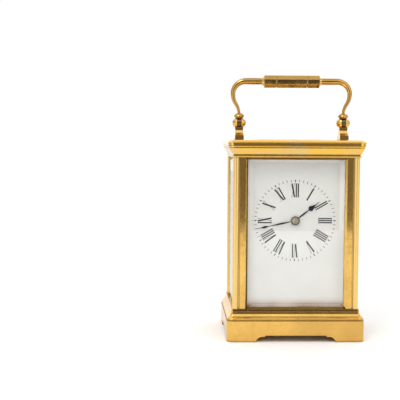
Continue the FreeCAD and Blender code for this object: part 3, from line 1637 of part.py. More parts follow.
def make_contrate_wheel():
    """The contrate wheel: a crossed disc whose rim carries teeth pointing to the front.

    Each tooth is a straight-sided wedge, a little narrower than the rim and sunk into it.
    """
    teeth = int(size("contrate_teeth"))
    module = size("contrate_module")
    radius = size(CONTRATE_RADIUS)
    width = size("contrate_rim_width")
    start = size("contrate_wheel_start")
    reach = size("contrate_tooth_length")
    outer = radius + width / 2
    disc = Part.makeCylinder(outer, size("wheel_thickness"), Vector(0, 0, start))
    disc = disc.cut(Part.makeCylinder(
        size("arbor_radius"), size("wheel_thickness"), Vector(0, 0, start)
    ))
    disc = disc.cut(window_tools(
        size("wheel_hub_radius"), outer - size("wheel_rim"), CONTRATE_SPOKES, size("spoke_width"),
        start, size("wheel_thickness"),
    ))
    addendum = size("contrate_addendum") * module
    dedendum = size("tooth_dedendum") * module
    root = reach - addendum - dedendum
    rim = Part.makeCylinder(outer, root, Vector(0, 0, start - root))
    rim = rim.cut(Part.makeCylinder(radius - width / 2, root, Vector(0, 0, start - root)))
    slope = math.tan(math.radians(size("pressure_angle")))
    half_pitch = math.pi * module / 4 * (1 - size("tooth_backlash"))
    high = start - reach
    sink = size("contrate_tooth_sink")
    low = start - root + sink
    foot = half_pitch + (dedendum + sink) * slope
    tip = half_pitch - addendum * slope
    face = width - 2 * size("contrate_tooth_inset")
    inner = radius - face / 2
    solids = []
    for number in range(teeth):
        profile = Part.Face(Part.makePolygon([
            Vector(-foot, inner, low),
            Vector(foot, inner, low),
            Vector(tip, inner, high),
            Vector(-tip, inner, high),
            Vector(-foot, inner, low),
        ]))
        tooth = profile.extrude(Vector(0, face, 0))
        tooth.rotate(Vector(0, 0, 0), Vector(0, 0, 1), number * 360 / teeth)
        solids.append(tooth)
    shape = disc.fuse([rim, *solids]).removeSplitter()
    on_arbor(feature(shape), CONTRATE, "contrate_wheel")


# ---------------------------------------------------------------- movement: dial train, hands

HOUR_HAND_BACK = f"({DIAL_FACE} - hour_hand_gap)"
HOUR_HAND_FRONT = f"({HOUR_HAND_BACK} - hand_thickness)"
MINUTE_HAND_BACK = f"({HOUR_HAND_FRONT} - hand_gap)"
MINUTE_HAND_FRONT = f"({MINUTE_HAND_BACK} - hand_thickness)"
COLLET_FRONT = f"({MINUTE_HAND_FRONT} - collet_thickness)"
HAND_TIP = f"({COLLET_FRONT} - collet_thickness / 2)"
CANNON_MODULE = "(2 * motion_distance / (cannon_leaves + minute_teeth))"
HOUR_MODULE = "(2 * motion_distance / (minute_leaves + hour_teeth))"


def make_dial_train():
    """Cannon pinion, minute wheel on its stud, and hour wheel, between dial and front plate.

    Each is built along +Z from the front plate's outer face towards the dial.
    """
    thickness = size("motion_wheel_thickness")
    pinion_length = size("motion_pinion_length")
    gap = size("motion_gap")
    overhang = (pinion_length - thickness) / 2
    stud_hole = size("stud_radius + running_play")
    cannon_hole = size("cannon_pipe_radius + running_play")

    def along(item, point, label):
        return sub_part(move(item, point[0], PLATE_FRONT, point[1], TO_FRONT), label)

    cannon = pinion_solid(
        int(size("cannon_leaves")), size(CANNON_MODULE), bearing_of(CENTRE, MINUTE), gap,
        pinion_length,
    )
    cannon_pipe = Part.makeCylinder(
        size("cannon_pipe_radius"), size(f"{PLATE_FRONT} - {MINUTE_HAND_FRONT}") - gap,
        Vector(0, 0, gap),
    )
    bore = Part.makeCylinder(size("centre_radius"), size("plate_gap"))
    cannon = cannon.fuse(cannon_pipe).removeSplitter().cut(bore)
    along(feature(cannon), CENTRE, "cannon_pinion")
    wheel_start = gap + overhang
    wheel = wheel_solid(
        int(size("minute_teeth")), size(CANNON_MODULE), bearing_of(MINUTE, CENTRE), wheel_start,
        thickness, stud_hole, spokes=0,
    )
    leaves_start = wheel_start + thickness
    leaves = pinion_solid(
        int(size("minute_leaves")), size(HOUR_MODULE), bearing_of(MINUTE, CENTRE), leaves_start,
        pinion_length,
    )
    stud_bore = Part.makeCylinder(stud_hole, size("dial_train_gap"))
    minute_wheel = wheel.fuse(leaves).removeSplitter().cut(stud_bore)
    along(feature(minute_wheel), MINUTE, "minute_wheel")
    pinion_top = (
        "(motion_gap + (motion_pinion_length + motion_wheel_thickness) / 2 + motion_pinion_length)"
    )
    stud = turned([
        ("0 - plate_thickness", "plate_thickness", "pivot_radius"),
        ("0 * stud_radius", "motion_gap", "stud_shoulder_radius"),
        ("0 * stud_radius", f"{pinion_top} + stud_tip", "stud_radius"),
    ])
    along(stud, MINUTE, "minute_wheel_stud")
    hour_start = leaves_start + overhang
    hour = wheel_solid(
        int(size("hour_teeth")), size(HOUR_MODULE), bearing_of(CENTRE, MINUTE), hour_start,
        thickness, cannon_hole, spokes=0,
    )
    hour_pipe = Part.makeCylinder(
        size("hour_pipe_radius"), size(f"{PLATE_FRONT} - {HOUR_HAND_FRONT}") - hour_start,
        Vector(0, 0, hour_start),
    )
    hour_bore = Part.makeCylinder(cannon_hole, size("plate_gap"))
    hour = hour.fuse(hour_pipe).removeSplitter().cut(hour_bore)
    along(feature(hour), CENTRE, "hour_wheel")


HAND_FULLNESS = 0.8      # below 1, a hand's swelling is fuller than a sine wave
SWELLING_STEPS = 9


def swelling(place, width, length, neck):
    """Stations of a hand's swelling, from one neck to the other, widest at its place."""
    stations = []
    for step in range(SWELLING_STEPS + 1):
        share = step / SWELLING_STEPS
        fullness = math.sin(math.pi * share) ** HAND_FULLNESS
        half_width = (neck + (width - neck) * fullness) / 2
        stations.append((place + length * (share - 0.5), half_width))
    return stations


def hand_shape(stations, boss, bore):
    """A flat hand pointing along +Y: a boss and an arm through (distance, half width) stations."""
    right = [Vector(half, distance, 0) for distance, half in stations]
    left = [Vector(-half, distance, 0) for distance, half in reversed(stations)]
    blade = Part.Face(Part.makePolygon(right + left + right[:1]))
    disc = Part.Face(Part.Wire(Part.makeCircle(boss)))
    thickness = Vector(0, 0, size("hand_thickness"))
    hand = blade.extrude(thickness).fuse(disc.extrude(thickness)).removeSplitter()
    return hand.cut(Part.makeCylinder(bore, size("hand_thickness")))


def make_hand(name, swell, bore, back):
    """The hour or minute hand, whose sizes begin with its name."""
    stations = [
        (size(bore), size("hand_root_width / 2")),
        *swelling(
            size(f"{name}_{swell}_place"), size(f"{name}_{swell}_width"),
            size(f"{name}_{swell}_length"), size(f"{name}_neck_width"),
        ),
        (size(f"{name}_hand_length"), size("hand_point_width / 2")),
    ]
    shape = hand_shape(stations, size(f"{name}_boss_radius"), size(bore))
    turn = TO_FRONT * Rotation(Vector(0, 0, 1), -size(f"{name}_hand_angle"))
    sub_part(move(feature(shape), "0", back, CENTRE_HEIGHT, turn), f"{name}_hand")


def make_hands():
    make_hand("hour", "pear", "hour_pipe_radius", HOUR_HAND_BACK)
    make_hand("minute", "drop", "cannon_pipe_radius", MINUTE_HAND_BACK)
    collet = cut(
        fuse([
            cylinder("collet_radius", "collet_thickness / 2"),
            cylinder("collet_nose_radius", "collet_thickness"),
        ]),
        [cylinder("centre_radius", "collet_thickness")],
    )
    sub_part(move(collet, "0", MINUTE_HAND_FRONT, CENTRE_HEIGHT, TO_FRONT), "hand_collet")


# ---------------------------------------------------------------- platform escapement

def make_platform():
    platform = body("platform_plate")
    shape = sketch_on(platform, "XY_Plane", PLATE_TOP)
    depth = f"({PLATE_BACK} - {PLATE_FRONT})"
    rectangle(shape, "platform_width / 2", f"{depth} / 2", "0", PLATE_MIDDLE)
    circle(shape, "staff_radius + 2 * running_play", ESCAPE_X, ESCAPE_Y)
    circle(shape, "staff_pivot_radius + running_play", LEVER_X, ESCAPE_Y)
    circle(shape, "staff_pivot_radius + running_play", BALANCE_X, ESCAPE_Y)
    spots = [
        (f"{side} * (platform_width / 2 - plate_pillar_inset)", y)
        for side in (-1, 1)
        for y in (f"{PLATE_FRONT} + plate_thickness / 2", f"{PLATE_BACK} - plate_thickness / 2")
    ]
    for spot in spots:
        circle(shape, "platform_screw_radius", *spot)
    pad(platform, shape, "platform_thickness")
    screws = [
        slotted_screw(
            "platform_screw_radius", "platform_thickness", x, y, PLATFORM_TOP,
            Rotation(Vector(1, 0, 0), 180), "platform_screw_head",
        )
        for x, y in spots
    ]
    sub_part(group(screws), "platform_screws")


ESCAPE_SPOKES = 4


def make_escape_wheel():
    """Escape wheel and its upright arbor, whose pinion meets the contrate wheel's teeth."""
    teeth = int(size("escape_teeth"))
    root = size("escape_root_radius")
    step = 2 * math.pi / teeth
    # One club tooth, leaning forward: (radius, place as a share of the pitch).
    tooth = [
        (root, -0.30),
        (size("escape_heel_radius"), -0.10),
        (size("escape_radius"), 0.02),
        (root, -0.02),
    ]
    points = [
        polar(radius, (number + share) * step) for number in range(teeth) for radius, share in tooth
    ]
    thickness = size("escape_thickness")
    wheel = Part.Face(Part.makePolygon(points + points[:1])).extrude(Vector(0, 0, thickness))
    wheel = wheel.cut(window_tools(
        size("escape_hub_radius"), size("escape_rim_radius"), ESCAPE_SPOKES,
        size("escape_spoke_width"), 0, thickness,
    ))
    wheel.translate(Vector(0, 0, size(f"{PLATFORM_TOP} + escape_rise")))
    mesh_height = size(f"{CONTRATE[1]} + {CONTRATE_RADIUS}")
    leaves = int(size("escape_leaves"))
    length = size("escape_pinion_length")
    pinion = pinion_solid(
        leaves, size("contrate_module"), 0, mesh_height - length / 2, length
    )
    low = size(f"{PLATE_TOP} - potence_drop")
    high = size(f"{PLATFORM_TOP} + bridge_rise")
    arbor = Part.makeCylinder(
        size("staff_radius"), high - low - 2 * size("running_play"),
        Vector(0, 0, low + size("running_play")),
    )
    pivot_reach = size("staff_pivot_length")
    pivots = Part.makeCylinder(
        size("staff_pivot_radius"), high - low + 2 * pivot_reach, Vector(0, 0, low - pivot_reach)
    )
    shape = pinion.fuse([wheel, arbor, pivots]).removeSplitter()
    sub_part(feature(shape, ESCAPE_X, ESCAPE_Y), "escape_wheel")


def make_lever():
    """The lever: two pallets astride the escape wheel's near side, and a forked tail."""
    height = f"{PLATFORM_TOP} + escape_rise"
    spread = "(escape_radius + pallet_clearance) * cos(pallet_angle)"
    bar = box("lever_bar_width", f"2 * {spread} + lever_thickness", "lever_thickness")
    pallets = [
        box(
            "pallet_length", "lever_thickness", "lever_thickness",
            "0 - pallet_length / 2", f"{side} * {spread}",
        )
        for side in (-1, 1)
    ]
    tail_end = "(balance_distance - fork_clearance)"
    tail = box(tail_end, "lever_thickness", "lever_thickness", f"{tail_end} / 2")
    horns = [
        box(
            "fork_length", "fork_horn", "lever_thickness",
            tail_end, f"{side} * (fork_width - fork_horn) / 2",
        )
        for side in (-1, 1)
    ]
    root = box(
        "lever_thickness", "fork_width", "lever_thickness", f"{tail_end} - fork_length / 2"
    )
    staff = cylinder(
        "staff_radius", "bridge_rise - 2 * running_play", z="running_play - escape_rise"
    )
    pivots = cylinder(
        "staff_pivot_radius", "bridge_rise + 2 * staff_pivot_length",
        z="0 - escape_rise - staff_pivot_length",
    )
    item = fuse([bar, *pallets, tail, *horns, root, staff, pivots])
    sub_part(move(item, LEVER_X, ESCAPE_Y, height), "lever")


def make_balance():
    """Balance wheel with its staff and roller, and the hairspring above it."""
    rise = size("balance_rise")
    rim_height = size("balance_height")
    radius = size("balance_radius")
    rim = Part.makeCylinder(radius, rim_height, Vector(0, 0, rise)).cut(
        Part.makeCylinder(radius - size("balance_rim"), rim_height, Vector(0, 0, rise))
    )
    arm = Part.makeBox(
        2 * radius - size("balance_rim"), size("spoke_width"), rim_height / 2,
        Vector(size("balance_rim") / 2 - radius, -size("spoke_width") / 2, rise),
    )
    high = size("cock_rise")
    play = size("running_play")
    staff = Part.makeCylinder(size("staff_radius"), high - 2 * play, Vector(0, 0, play))
    reach = size("staff_pivot_length")
    pivots = Part.makeCylinder(
        size("staff_pivot_radius"), high + 2 * reach, Vector(0, 0, -reach)
    )
    roller_low = size("escape_rise + lever_thickness + ratchet_gap")
    roller = Part.makeCylinder(
        size("roller_radius"), size("escape_thickness"), Vector(0, 0, roller_low)
    )
    shape = rim.fuse([arm, staff, pivots, roller]).removeSplitter()
    sub_part(feature(shape, BALANCE_X, ESCAPE_Y, PLATFORM_TOP), "balance_wheel")
    spring = spiral_strip(
        size("staff_radius"), size("hairspring_radius"), size("hairspring_turns"),
        size("hairspring_strip"), size("hairspring_height"),
    )
    sub_part(
        feature(spring, BALANCE_X, ESCAPE_Y, f"{PLATFORM_TOP} + hairspring_rise"), "hairspring"
    )


def make_balance_cock():
    """Balance cock, and the regulator's index on top of it."""
    foot_x = "(platform_width / 2 - cock_foot / 2)"
    reach = f"({foot_x} - {BALANCE_X})"
    foot = box("cock_foot", "cock_width", "cock_rise", foot_x, ESCAPE_Y, PLATFORM_TOP)
    arm = box(
        reach, "cock_width", "cock_thickness", f"({foot_x} + {BALANCE_X}) / 2", ESCAPE_Y,
        f"{PLATFORM_TOP} + cock_rise",
    )
    cap = box("cock_foot", "cock_width", "cock_thickness", foot_x, ESCAPE_Y,
              f"{PLATFORM_TOP} + cock_rise")
    nose = cylinder("cock_width / 2", "cock_thickness", BALANCE_X, ESCAPE_Y,
                    f"{PLATFORM_TOP} + cock_rise")
    bore = cylinder("staff_pivot_radius + running_play", "cock_thickness", BALANCE_X, ESCAPE_Y,
                    f"{PLATFORM_TOP} + cock_rise")
    sub_part(cut(fuse([foot, arm, cap, nose]), [bore]), "balance_cock")
    index_z = f"{PLATFORM_TOP} + cock_rise + cock_thickness"
    ring = cylinder("index_radius", "index_thickness", BALANCE_X, ESCAPE_Y, index_z)
    pointer = box(
        "index_thickness", "index_radius + index_pointer", "index_thickness",
        BALANCE_X, f"{ESCAPE_Y} + (index_radius + index_pointer) / 2", index_z,
    )
    sub_part(fuse([ring, pointer]), "regulator_index")


def make_bridges():
    """The bridge over the escape wheel and the lever, and the potence under the platform."""
    bridge_z = f"{PLATFORM_TOP} + bridge_rise"
    middle = f"({LEVER_X} + {ESCAPE_X}) / 2"
    length = f"({LEVER_X} - {ESCAPE_X}) + 2 * bridge_leg"
    leg_y = f"({ESCAPE_Y} - escape_radius - bridge_leg)"
    near = f"({leg_y} - bridge_leg / 2)"
    far = f"({ESCAPE_Y} + bridge_leg)"
    bar = box(length, f"{far} - {near}", "bridge_thickness", middle, f"({near} + {far}) / 2", bridge_z)
    legs = box(length, "bridge_leg", "bridge_rise", middle, leg_y, PLATFORM_TOP)
    holes = [
        cylinder("staff_pivot_radius + running_play", "bridge_thickness", x, ESCAPE_Y, bridge_z)
        for x in (ESCAPE_X, LEVER_X)
    ]
    low = f"({PLATE_TOP} - potence_drop - bridge_thickness)"
    hanger = box(
        "potence_width", "bridge_leg", "potence_drop + bridge_thickness",
        ESCAPE_X, f"({ESCAPE_Y} - potence_reach)", low,
    )
    arm = box(
        "potence_width", "potence_reach + bridge_leg", "bridge_thickness",
        ESCAPE_X, f"({ESCAPE_Y} - potence_reach / 2)", low,
    )
    pivot_hole = cylinder(
        "staff_pivot_radius + running_play", "bridge_thickness", ESCAPE_X, ESCAPE_Y, low
    )
    upper = cut(fuse([bar, legs]), holes)
    lower = cut(fuse([hanger, arm]), [pivot_hole])
    sub_part(group([upper, lower]), "escapement_bridges")


# ---------------------------------------------------------------- build and write

make_base()
for corner_name in CORNERS:
    make_pillar(corner_name)
make_pillar_screws()
make_top()
make_glasses()
make_door()
make_handle()
make_frame()
make_dial()
make_going_train()
make_centre_arbor()
make_contrate_wheel()
make_dial_train()
make_hands()
make_platform()
make_escape_wheel()
make_lever()
make_balance()
make_balance_cock()
make_bridges()
doc.recompute()

for item in doc.Objects:
    if "Invalid" in item.State or "Error" in item.State:
        raise ValueError(f"{item.Label} didn't build: {item.State}")
os.makedirs("parts", exist_ok=True)
for item in sub_parts:
    if item.Shape.isNull() or not item.Shape.isValid():
        raise ValueError(f"{item.Label} isn't a sound shape")
    item.Shape.exportStep(f"parts/{item.Label}.step")
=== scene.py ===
"""Carriage clock in a brass and glass case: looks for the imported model.

Everything is in metres, +Z up, with the dial facing -Y. Constants and arguments that hold
lengths on the clock itself are in millimetres, and are multiplied by MM where they are used.
"""
import json
import math

import bmesh
import bpy
from mathutils import Matrix, Vector

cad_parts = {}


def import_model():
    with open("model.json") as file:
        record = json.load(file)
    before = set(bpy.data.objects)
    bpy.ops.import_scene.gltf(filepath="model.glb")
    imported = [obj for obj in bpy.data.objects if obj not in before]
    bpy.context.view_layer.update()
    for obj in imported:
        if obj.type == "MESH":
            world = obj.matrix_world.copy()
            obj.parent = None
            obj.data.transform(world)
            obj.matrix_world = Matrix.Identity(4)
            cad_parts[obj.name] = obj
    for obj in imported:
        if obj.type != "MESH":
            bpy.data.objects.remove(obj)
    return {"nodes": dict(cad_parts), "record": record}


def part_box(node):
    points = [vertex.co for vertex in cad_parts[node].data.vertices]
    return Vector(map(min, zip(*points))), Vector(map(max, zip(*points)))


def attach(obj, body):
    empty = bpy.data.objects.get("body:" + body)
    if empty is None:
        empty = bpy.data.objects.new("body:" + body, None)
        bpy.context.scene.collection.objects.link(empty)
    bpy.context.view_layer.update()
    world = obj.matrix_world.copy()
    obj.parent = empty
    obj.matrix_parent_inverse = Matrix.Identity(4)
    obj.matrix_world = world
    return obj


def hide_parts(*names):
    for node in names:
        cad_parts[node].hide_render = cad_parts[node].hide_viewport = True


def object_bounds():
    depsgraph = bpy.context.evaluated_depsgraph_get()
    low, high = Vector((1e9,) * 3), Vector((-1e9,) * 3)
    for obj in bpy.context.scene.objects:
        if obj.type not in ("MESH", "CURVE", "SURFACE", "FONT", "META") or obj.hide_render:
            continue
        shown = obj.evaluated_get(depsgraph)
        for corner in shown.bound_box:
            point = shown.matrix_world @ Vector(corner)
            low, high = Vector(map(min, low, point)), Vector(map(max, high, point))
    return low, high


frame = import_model()
nodes = frame["nodes"]
CAD_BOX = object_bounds()
MM = 0.001


# ---------------------------------------------------------------- node graphs

class Graph:
    """Adds shader nodes to a tree: values, links and results in one call each."""

    # A Mix node's sockets for its factor, first value, second value and result.
    MIX_SOCKETS = {"FLOAT": (0, 2, 3, 0), "RGBA": (0, 6, 7, 2)}

    def __init__(self, tree):
        self.tree = tree

    def link(self, source, target):
        self.tree.links.new(source, target)

    def node(self, kind, inputs=None, **settings):
        item = self.tree.nodes.new(kind)
        for key, value in settings.items():
            setattr(item, key, value)
        for key, value in (inputs or {}).items():
            socket = item.inputs[key]
            if isinstance(value, bpy.types.NodeSocket):
                self.link(value, socket)
            else:
                socket.default_value = value
        return item

    def find(self, kind):
        """The first node of a kind that is already in the tree."""
        return next(node for node in self.tree.nodes if node.type == kind)

    def noise(self, place, scale, detail=4.0, roughness=0.6):
        """Noise from 0 to 1; the scale is in waves per metre."""
        return self.node("ShaderNodeTexNoise", {
            "Vector": place, "Scale": scale, "Detail": detail, "Roughness": roughness,
        }).outputs[0]

    def ramp(self, value, stops):
        """A ramp through (place, grey) stops."""
        item = self.node("ShaderNodeValToRGB", {0: value})
        elements = item.color_ramp.elements
        for element, (place, grey) in zip(elements, stops, strict=True):
            element.position = place
            element.color = (grey, grey, grey, 1.0)
        return item.outputs[0]

    def math(self, operation, first, second=0.0, third=0.0):
        return self.node(
            "ShaderNodeMath", {0: first, 1: second, 2: third}, operation=operation
        ).outputs[0]

    def mix(self, factor, first, second, kind="RGBA"):
        """The first value with as much of the second over it as the factor says."""
        share, plain, over, result = self.MIX_SOCKETS[kind]
        return self.node(
            "ShaderNodeMix", {share: factor, plain: first, over: second}, data_type=kind
        ).outputs[result]

    def step(self, value, start, end, shape="LINEAR"):
        """0 at the start, 1 at the end, and from one to the other between them."""
        return self.node("ShaderNodeMapRange", {
            "Value": value, "From Min": start, "From Max": end,
        }, interpolation_type=shape).outputs[0]

    def mapped(self, place, scale):
        return self.node("ShaderNodeMapping", {"Vector": place, "Scale": scale}).outputs[0]

    def axes(self, place):
        return self.node("ShaderNodeSeparateXYZ", {0: place}).outputs

    def cover(self, shader, socket, mask, value, kind="RGBA"):
        """Puts a value over what a shader's socket already takes, where the mask is 1."""
        plain = shader.inputs[socket].links[0].from_socket
        self.link(self.mix(mask, plain, value, kind), shader.inputs[socket])


def empty_graph(owner):
    """The graph of a new material or world, with nothing in it."""
    owner.use_nodes = True
    owner.node_tree.nodes.clear()
    return Graph(owner.node_tree)


def srgb(red, green, blue):
    """A colour given as 0-255 sRGB numbers, in the linear numbers that shaders take."""
    return tuple(
        value / 3294.6 if value <= 10.3 else ((value / 255 + 0.055) / 1.055) ** 2.4
        for value in (red, green, blue)
    )


def rgba(colour):
    return (*colour, 1.0)


def material(name):
    item = bpy.data.materials.new(name)
    graph = empty_graph(item)
    output = graph.node("ShaderNodeOutputMaterial")
    coordinates = graph.node("ShaderNodeTexCoord").outputs["Object"]
    return item, graph, output, coordinates


# ---------------------------------------------------------------- metals

# Scales of noise, in waves per metre.
BLOTCH_SCALE = 330.0
STREAK_SCALE = 2600.0
CROSS_SCALE = 2400.0
WAVE_SCALE = 160.0
# How far streaks are drawn out: upright, and across.
STREAK_STRETCH = (1.0, 1.0, 0.06)
CROSS_STRETCH = (0.05, 1.0, 1.0)
# Lengths in mm: a corner that holds dirt and painted shade, and the depths of scratches and
# waves.
HOLLOW_REACH = 2.2
SCRATCH_DEPTH = 0.01
WAVE_DEPTH = 0.05
# How much each thing adds to the roughness.
CLOUD_ROUGHNESS = 0.10
BLOTCH_ROUGHNESS = 0.18
DIRT_ROUGHNESS = 0.25
MOTTLE_ROUGHNESS = 0.10
SHADE_SAMPLES = 4

# The round beads at the case's outer corners: width and soft edge in mm, and their finish, with a
# paler colour that is a painted highlight.
BEAD_WIDTH = 4.1
BEAD_BLEND = 0.15
BEAD_HIGHLIGHT_SHARE = 0.75
BEAD_HIGHLIGHT_COLOUR = (1.0, 0.70, 0.25)
BEAD_ROUGHNESS = 0.30

# Painted shade round the handle's pivots, where the bail's eye sits in the knuckle's slot: radii
# in mm from their axis, and its finish.
PIVOT_SHADE_MIDDLE = 3.2
PIVOT_SHADE_EDGE = 3.8
PIVOT_SHADE_COLOUR = (0.17, 0.13, 0.085)
PIVOT_SHADE_ROUGHNESS = 0.30


def metal(name, light, dark, roughness, speckle=0.35, grime_and_shade=0.5, edge=0.12, scratch=0.25,
          grime_and_shade_colour=(0.03, 0.018, 0.006), grain=900.0, patina=0.35, cloud=55.0, drift=0.40,
          shift=(0.35, 0.70)):
    """Worn metal: mottled colour, fine scratches, dirt and painted shade in corners, and rounded
    edges.

    The colour goes from light to dark in slow clouds (scale cloud, amount drift, between the
    noise levels of shift), in blotches (patina) and in specks (scale grain, amount speckle).
    One argument sets how much dirt and painted shade darkens the corners, and edge is the edges'
    radius in mm.
    """
    item, graph, output, place = material(name)
    clouds = graph.noise(place, cloud, detail=5.0)
    blotches = graph.noise(place, BLOTCH_SCALE, roughness=0.65)
    blotches = graph.ramp(blotches, [(0.42, 0.0), (0.66, 1.0)])
    spots = graph.ramp(graph.noise(place, grain, detail=3.0), [(0.50, 0.0), (0.72, 1.0)])
    mottle = graph.math("MULTIPLY", spots, speckle)
    tone = graph.ramp(clouds, [(shift[0], 0.0), (shift[1], 1.0)])
    base = graph.mix(graph.math("MULTIPLY", tone, drift), rgba(light), rgba(dark))
    base = graph.mix(graph.math("MULTIPLY", blotches, patina), base, rgba(dark))
    base = graph.mix(mottle, base, rgba(dark))
    # Dirt and painted shade: corners and grooves that ambient occlusion finds closed in are
    # darkened towards the grime colour, partly real grime and partly shade painted into the
    # colour.
    hollow = graph.node(
        "ShaderNodeAmbientOcclusion", {"Distance": HOLLOW_REACH * MM}, samples=SHADE_SAMPLES
    )
    dirt_and_shade = graph.ramp(hollow.outputs["AO"], [(0.30, 1.0), (0.85, 0.0)])
    base = graph.mix(graph.math("MULTIPLY", dirt_and_shade, grime_and_shade), base, rgba(grime_and_shade_colour))
    streaks, cross = (
        graph.noise(graph.mapped(place, stretch), scale, detail=2.0, roughness=0.7)
        for stretch, scale in ((STREAK_STRETCH, STREAK_SCALE), (CROSS_STRETCH, CROSS_SCALE))
    )
    lines = graph.math("MULTIPLY", streaks, cross)
    rough = graph.math("MULTIPLY_ADD", clouds, CLOUD_ROUGHNESS, roughness - CLOUD_ROUGHNESS / 2)
    for cause, amount in (
        (blotches, BLOTCH_ROUGHNESS * patina), (dirt_and_shade, DIRT_ROUGHNESS), (mottle, MOTTLE_ROUGHNESS)
    ):
        rough = graph.math("ADD", rough, graph.math("MULTIPLY", cause, amount))
    corners = graph.node("ShaderNodeBevel", {"Radius": edge * MM}, samples=SHADE_SAMPLES)
    bump = graph.node("ShaderNodeBump", {
        "Strength": scratch, "Distance": SCRATCH_DEPTH * MM, "Height": lines,
        "Normal": corners.outputs[0],
    })
    waves = graph.node("ShaderNodeBump", {
        "Strength": scratch, "Distance": WAVE_DEPTH * MM,
        "Height": graph.noise(place, WAVE_SCALE, detail=2.0, roughness=0.5),
        "Normal": bump.outputs[0],
    })
    shader = graph.node("ShaderNodeBsdfPrincipled", {
        "Base Color": base, "Metallic": 1.0, "Roughness": rough, "Normal": waves.outputs[0],
    })
    graph.link(shader.outputs[0], output.inputs["Surface"])
    return item


def begun(item):
    """The graph, shader and coordinates of a finished metal, to put more over it."""
    graph = Graph(item.node_tree)
    return graph, graph.find("BSDF_PRINCIPLED"), graph.find("TEX_COORD").outputs["Object"]


def pillar_metal(name, light, dark, roughness):
    """The case metal, with duller beads at the case's outer corners, paled by a painted
    highlight.
    """
    item = metal(name, light, dark, roughness, grime_and_shade=0.75)
    graph, shader, place = begun(item)
    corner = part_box("pillar_front_left")[0]
    sides = graph.axes(place)
    inner, outer = (BEAD_WIDTH + BEAD_BLEND) * MM, (BEAD_WIDTH - BEAD_BLEND) * MM
    across, along = (
        graph.step(graph.math("ABSOLUTE", side), reach - inner, reach - outer)
        for side, reach in ((sides[0], abs(corner.x)), (sides[1], abs(corner.y)))
    )
    bead = graph.math("MULTIPLY", across, along)
    graph.cover(shader, "Roughness", bead, BEAD_ROUGHNESS, "FLOAT")
    # Painted highlight: the beads' colour is paled towards a bright brass.
    graph.cover(shader, "Base Color", graph.math("MULTIPLY", bead, BEAD_HIGHLIGHT_SHARE), rgba(BEAD_HIGHLIGHT_COLOUR))
    return item


def bail_metal(name, light, dark, roughness):
    """The handle's metal, darkened round the pivot pins as painted shade."""
    item = metal(name, light, dark, roughness, speckle=0.3)
    graph, shader, place = begun(item)
    low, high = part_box("handle_pivot_pins")
    centre = (low + high) / 2
    sides = graph.axes(place)
    flat = graph.node("ShaderNodeCombineXYZ", {"Y": sides[1], "Z": sides[2]}).outputs[0]
    reach = graph.node(
        "ShaderNodeVectorMath", {0: flat, 1: (0.0, centre.y, centre.z)}, operation="DISTANCE"
    ).outputs["Value"]
    near = graph.step(reach, PIVOT_SHADE_EDGE * MM, PIVOT_SHADE_MIDDLE * MM)
    # Painted shade: dark colour round the pivots.
    graph.cover(shader, "Base Color", near, rgba(PIVOT_SHADE_COLOUR))
    graph.cover(shader, "Roughness", near, PIVOT_SHADE_ROUGHNESS, "FLOAT")
    return item


# ---------------------------------------------------------------- glass, enamel and ink

# Refraction of the glass, and of the enamel, which is glass too.
GLASS_INDEX = 1.5
GLASS_COLOUR = (0.985, 0.995, 0.988)
GLASS_SHADOW = (0.97, 0.98, 0.975)
SMEAR_SCALE = 30.0
SMEAR_ROUGHNESS = 0.035
ENAMEL_WHITE = srgb(246, 244, 240)
ENAMEL_GREY = srgb(238, 236, 233)
ENAMEL_SCALE = 40.0
RIPPLE_SCALE = 220.0
RIPPLE_DEPTH = 0.03
# Painted brown reflection of the brass ledge at the dial's foot: where it starts over the base
# and how high it rises from there, in mm, and how quickly it thins out.
LEDGE_REFLECTION_FOOT = 1.0
LEDGE_REFLECTION_TOP = 6.5
LEDGE_REFLECTION_FADE = 2.2
LEDGE_REFLECTION_SCALE = 45.0
LEDGE_REFLECTION_COLOUR = srgb(150, 104, 48)
INK_BLACK = srgb(12, 11, 13)
INK_THIN = srgb(34, 31, 32)
INK_SCALE = 900.0


def glass(name):
    """Clear glass with faint smears; light that falls through it isn't darkened."""
    item, graph, output, place = material(name)
    smear = graph.ramp(graph.noise(place, SMEAR_SCALE), [(0.45, 0.0), (0.75, SMEAR_ROUGHNESS)])
    shader = graph.node("ShaderNodeBsdfPrincipled", {
        "Base Color": rgba(GLASS_COLOUR), "Roughness": smear, "IOR": GLASS_INDEX,
        "Transmission Weight": 1.0,
    })
    clear = graph.node("ShaderNodeBsdfTransparent", {"Color": rgba(GLASS_SHADOW)})
    rays = graph.node("ShaderNodeLightPath")
    mixed = graph.node("ShaderNodeMixShader", {
        0: rays.outputs["Is Shadow Ray"], 1: shader.outputs[0], 2: clear.outputs[0],
    })
    graph.link(mixed.outputs[0], output.inputs["Surface"])
    return item


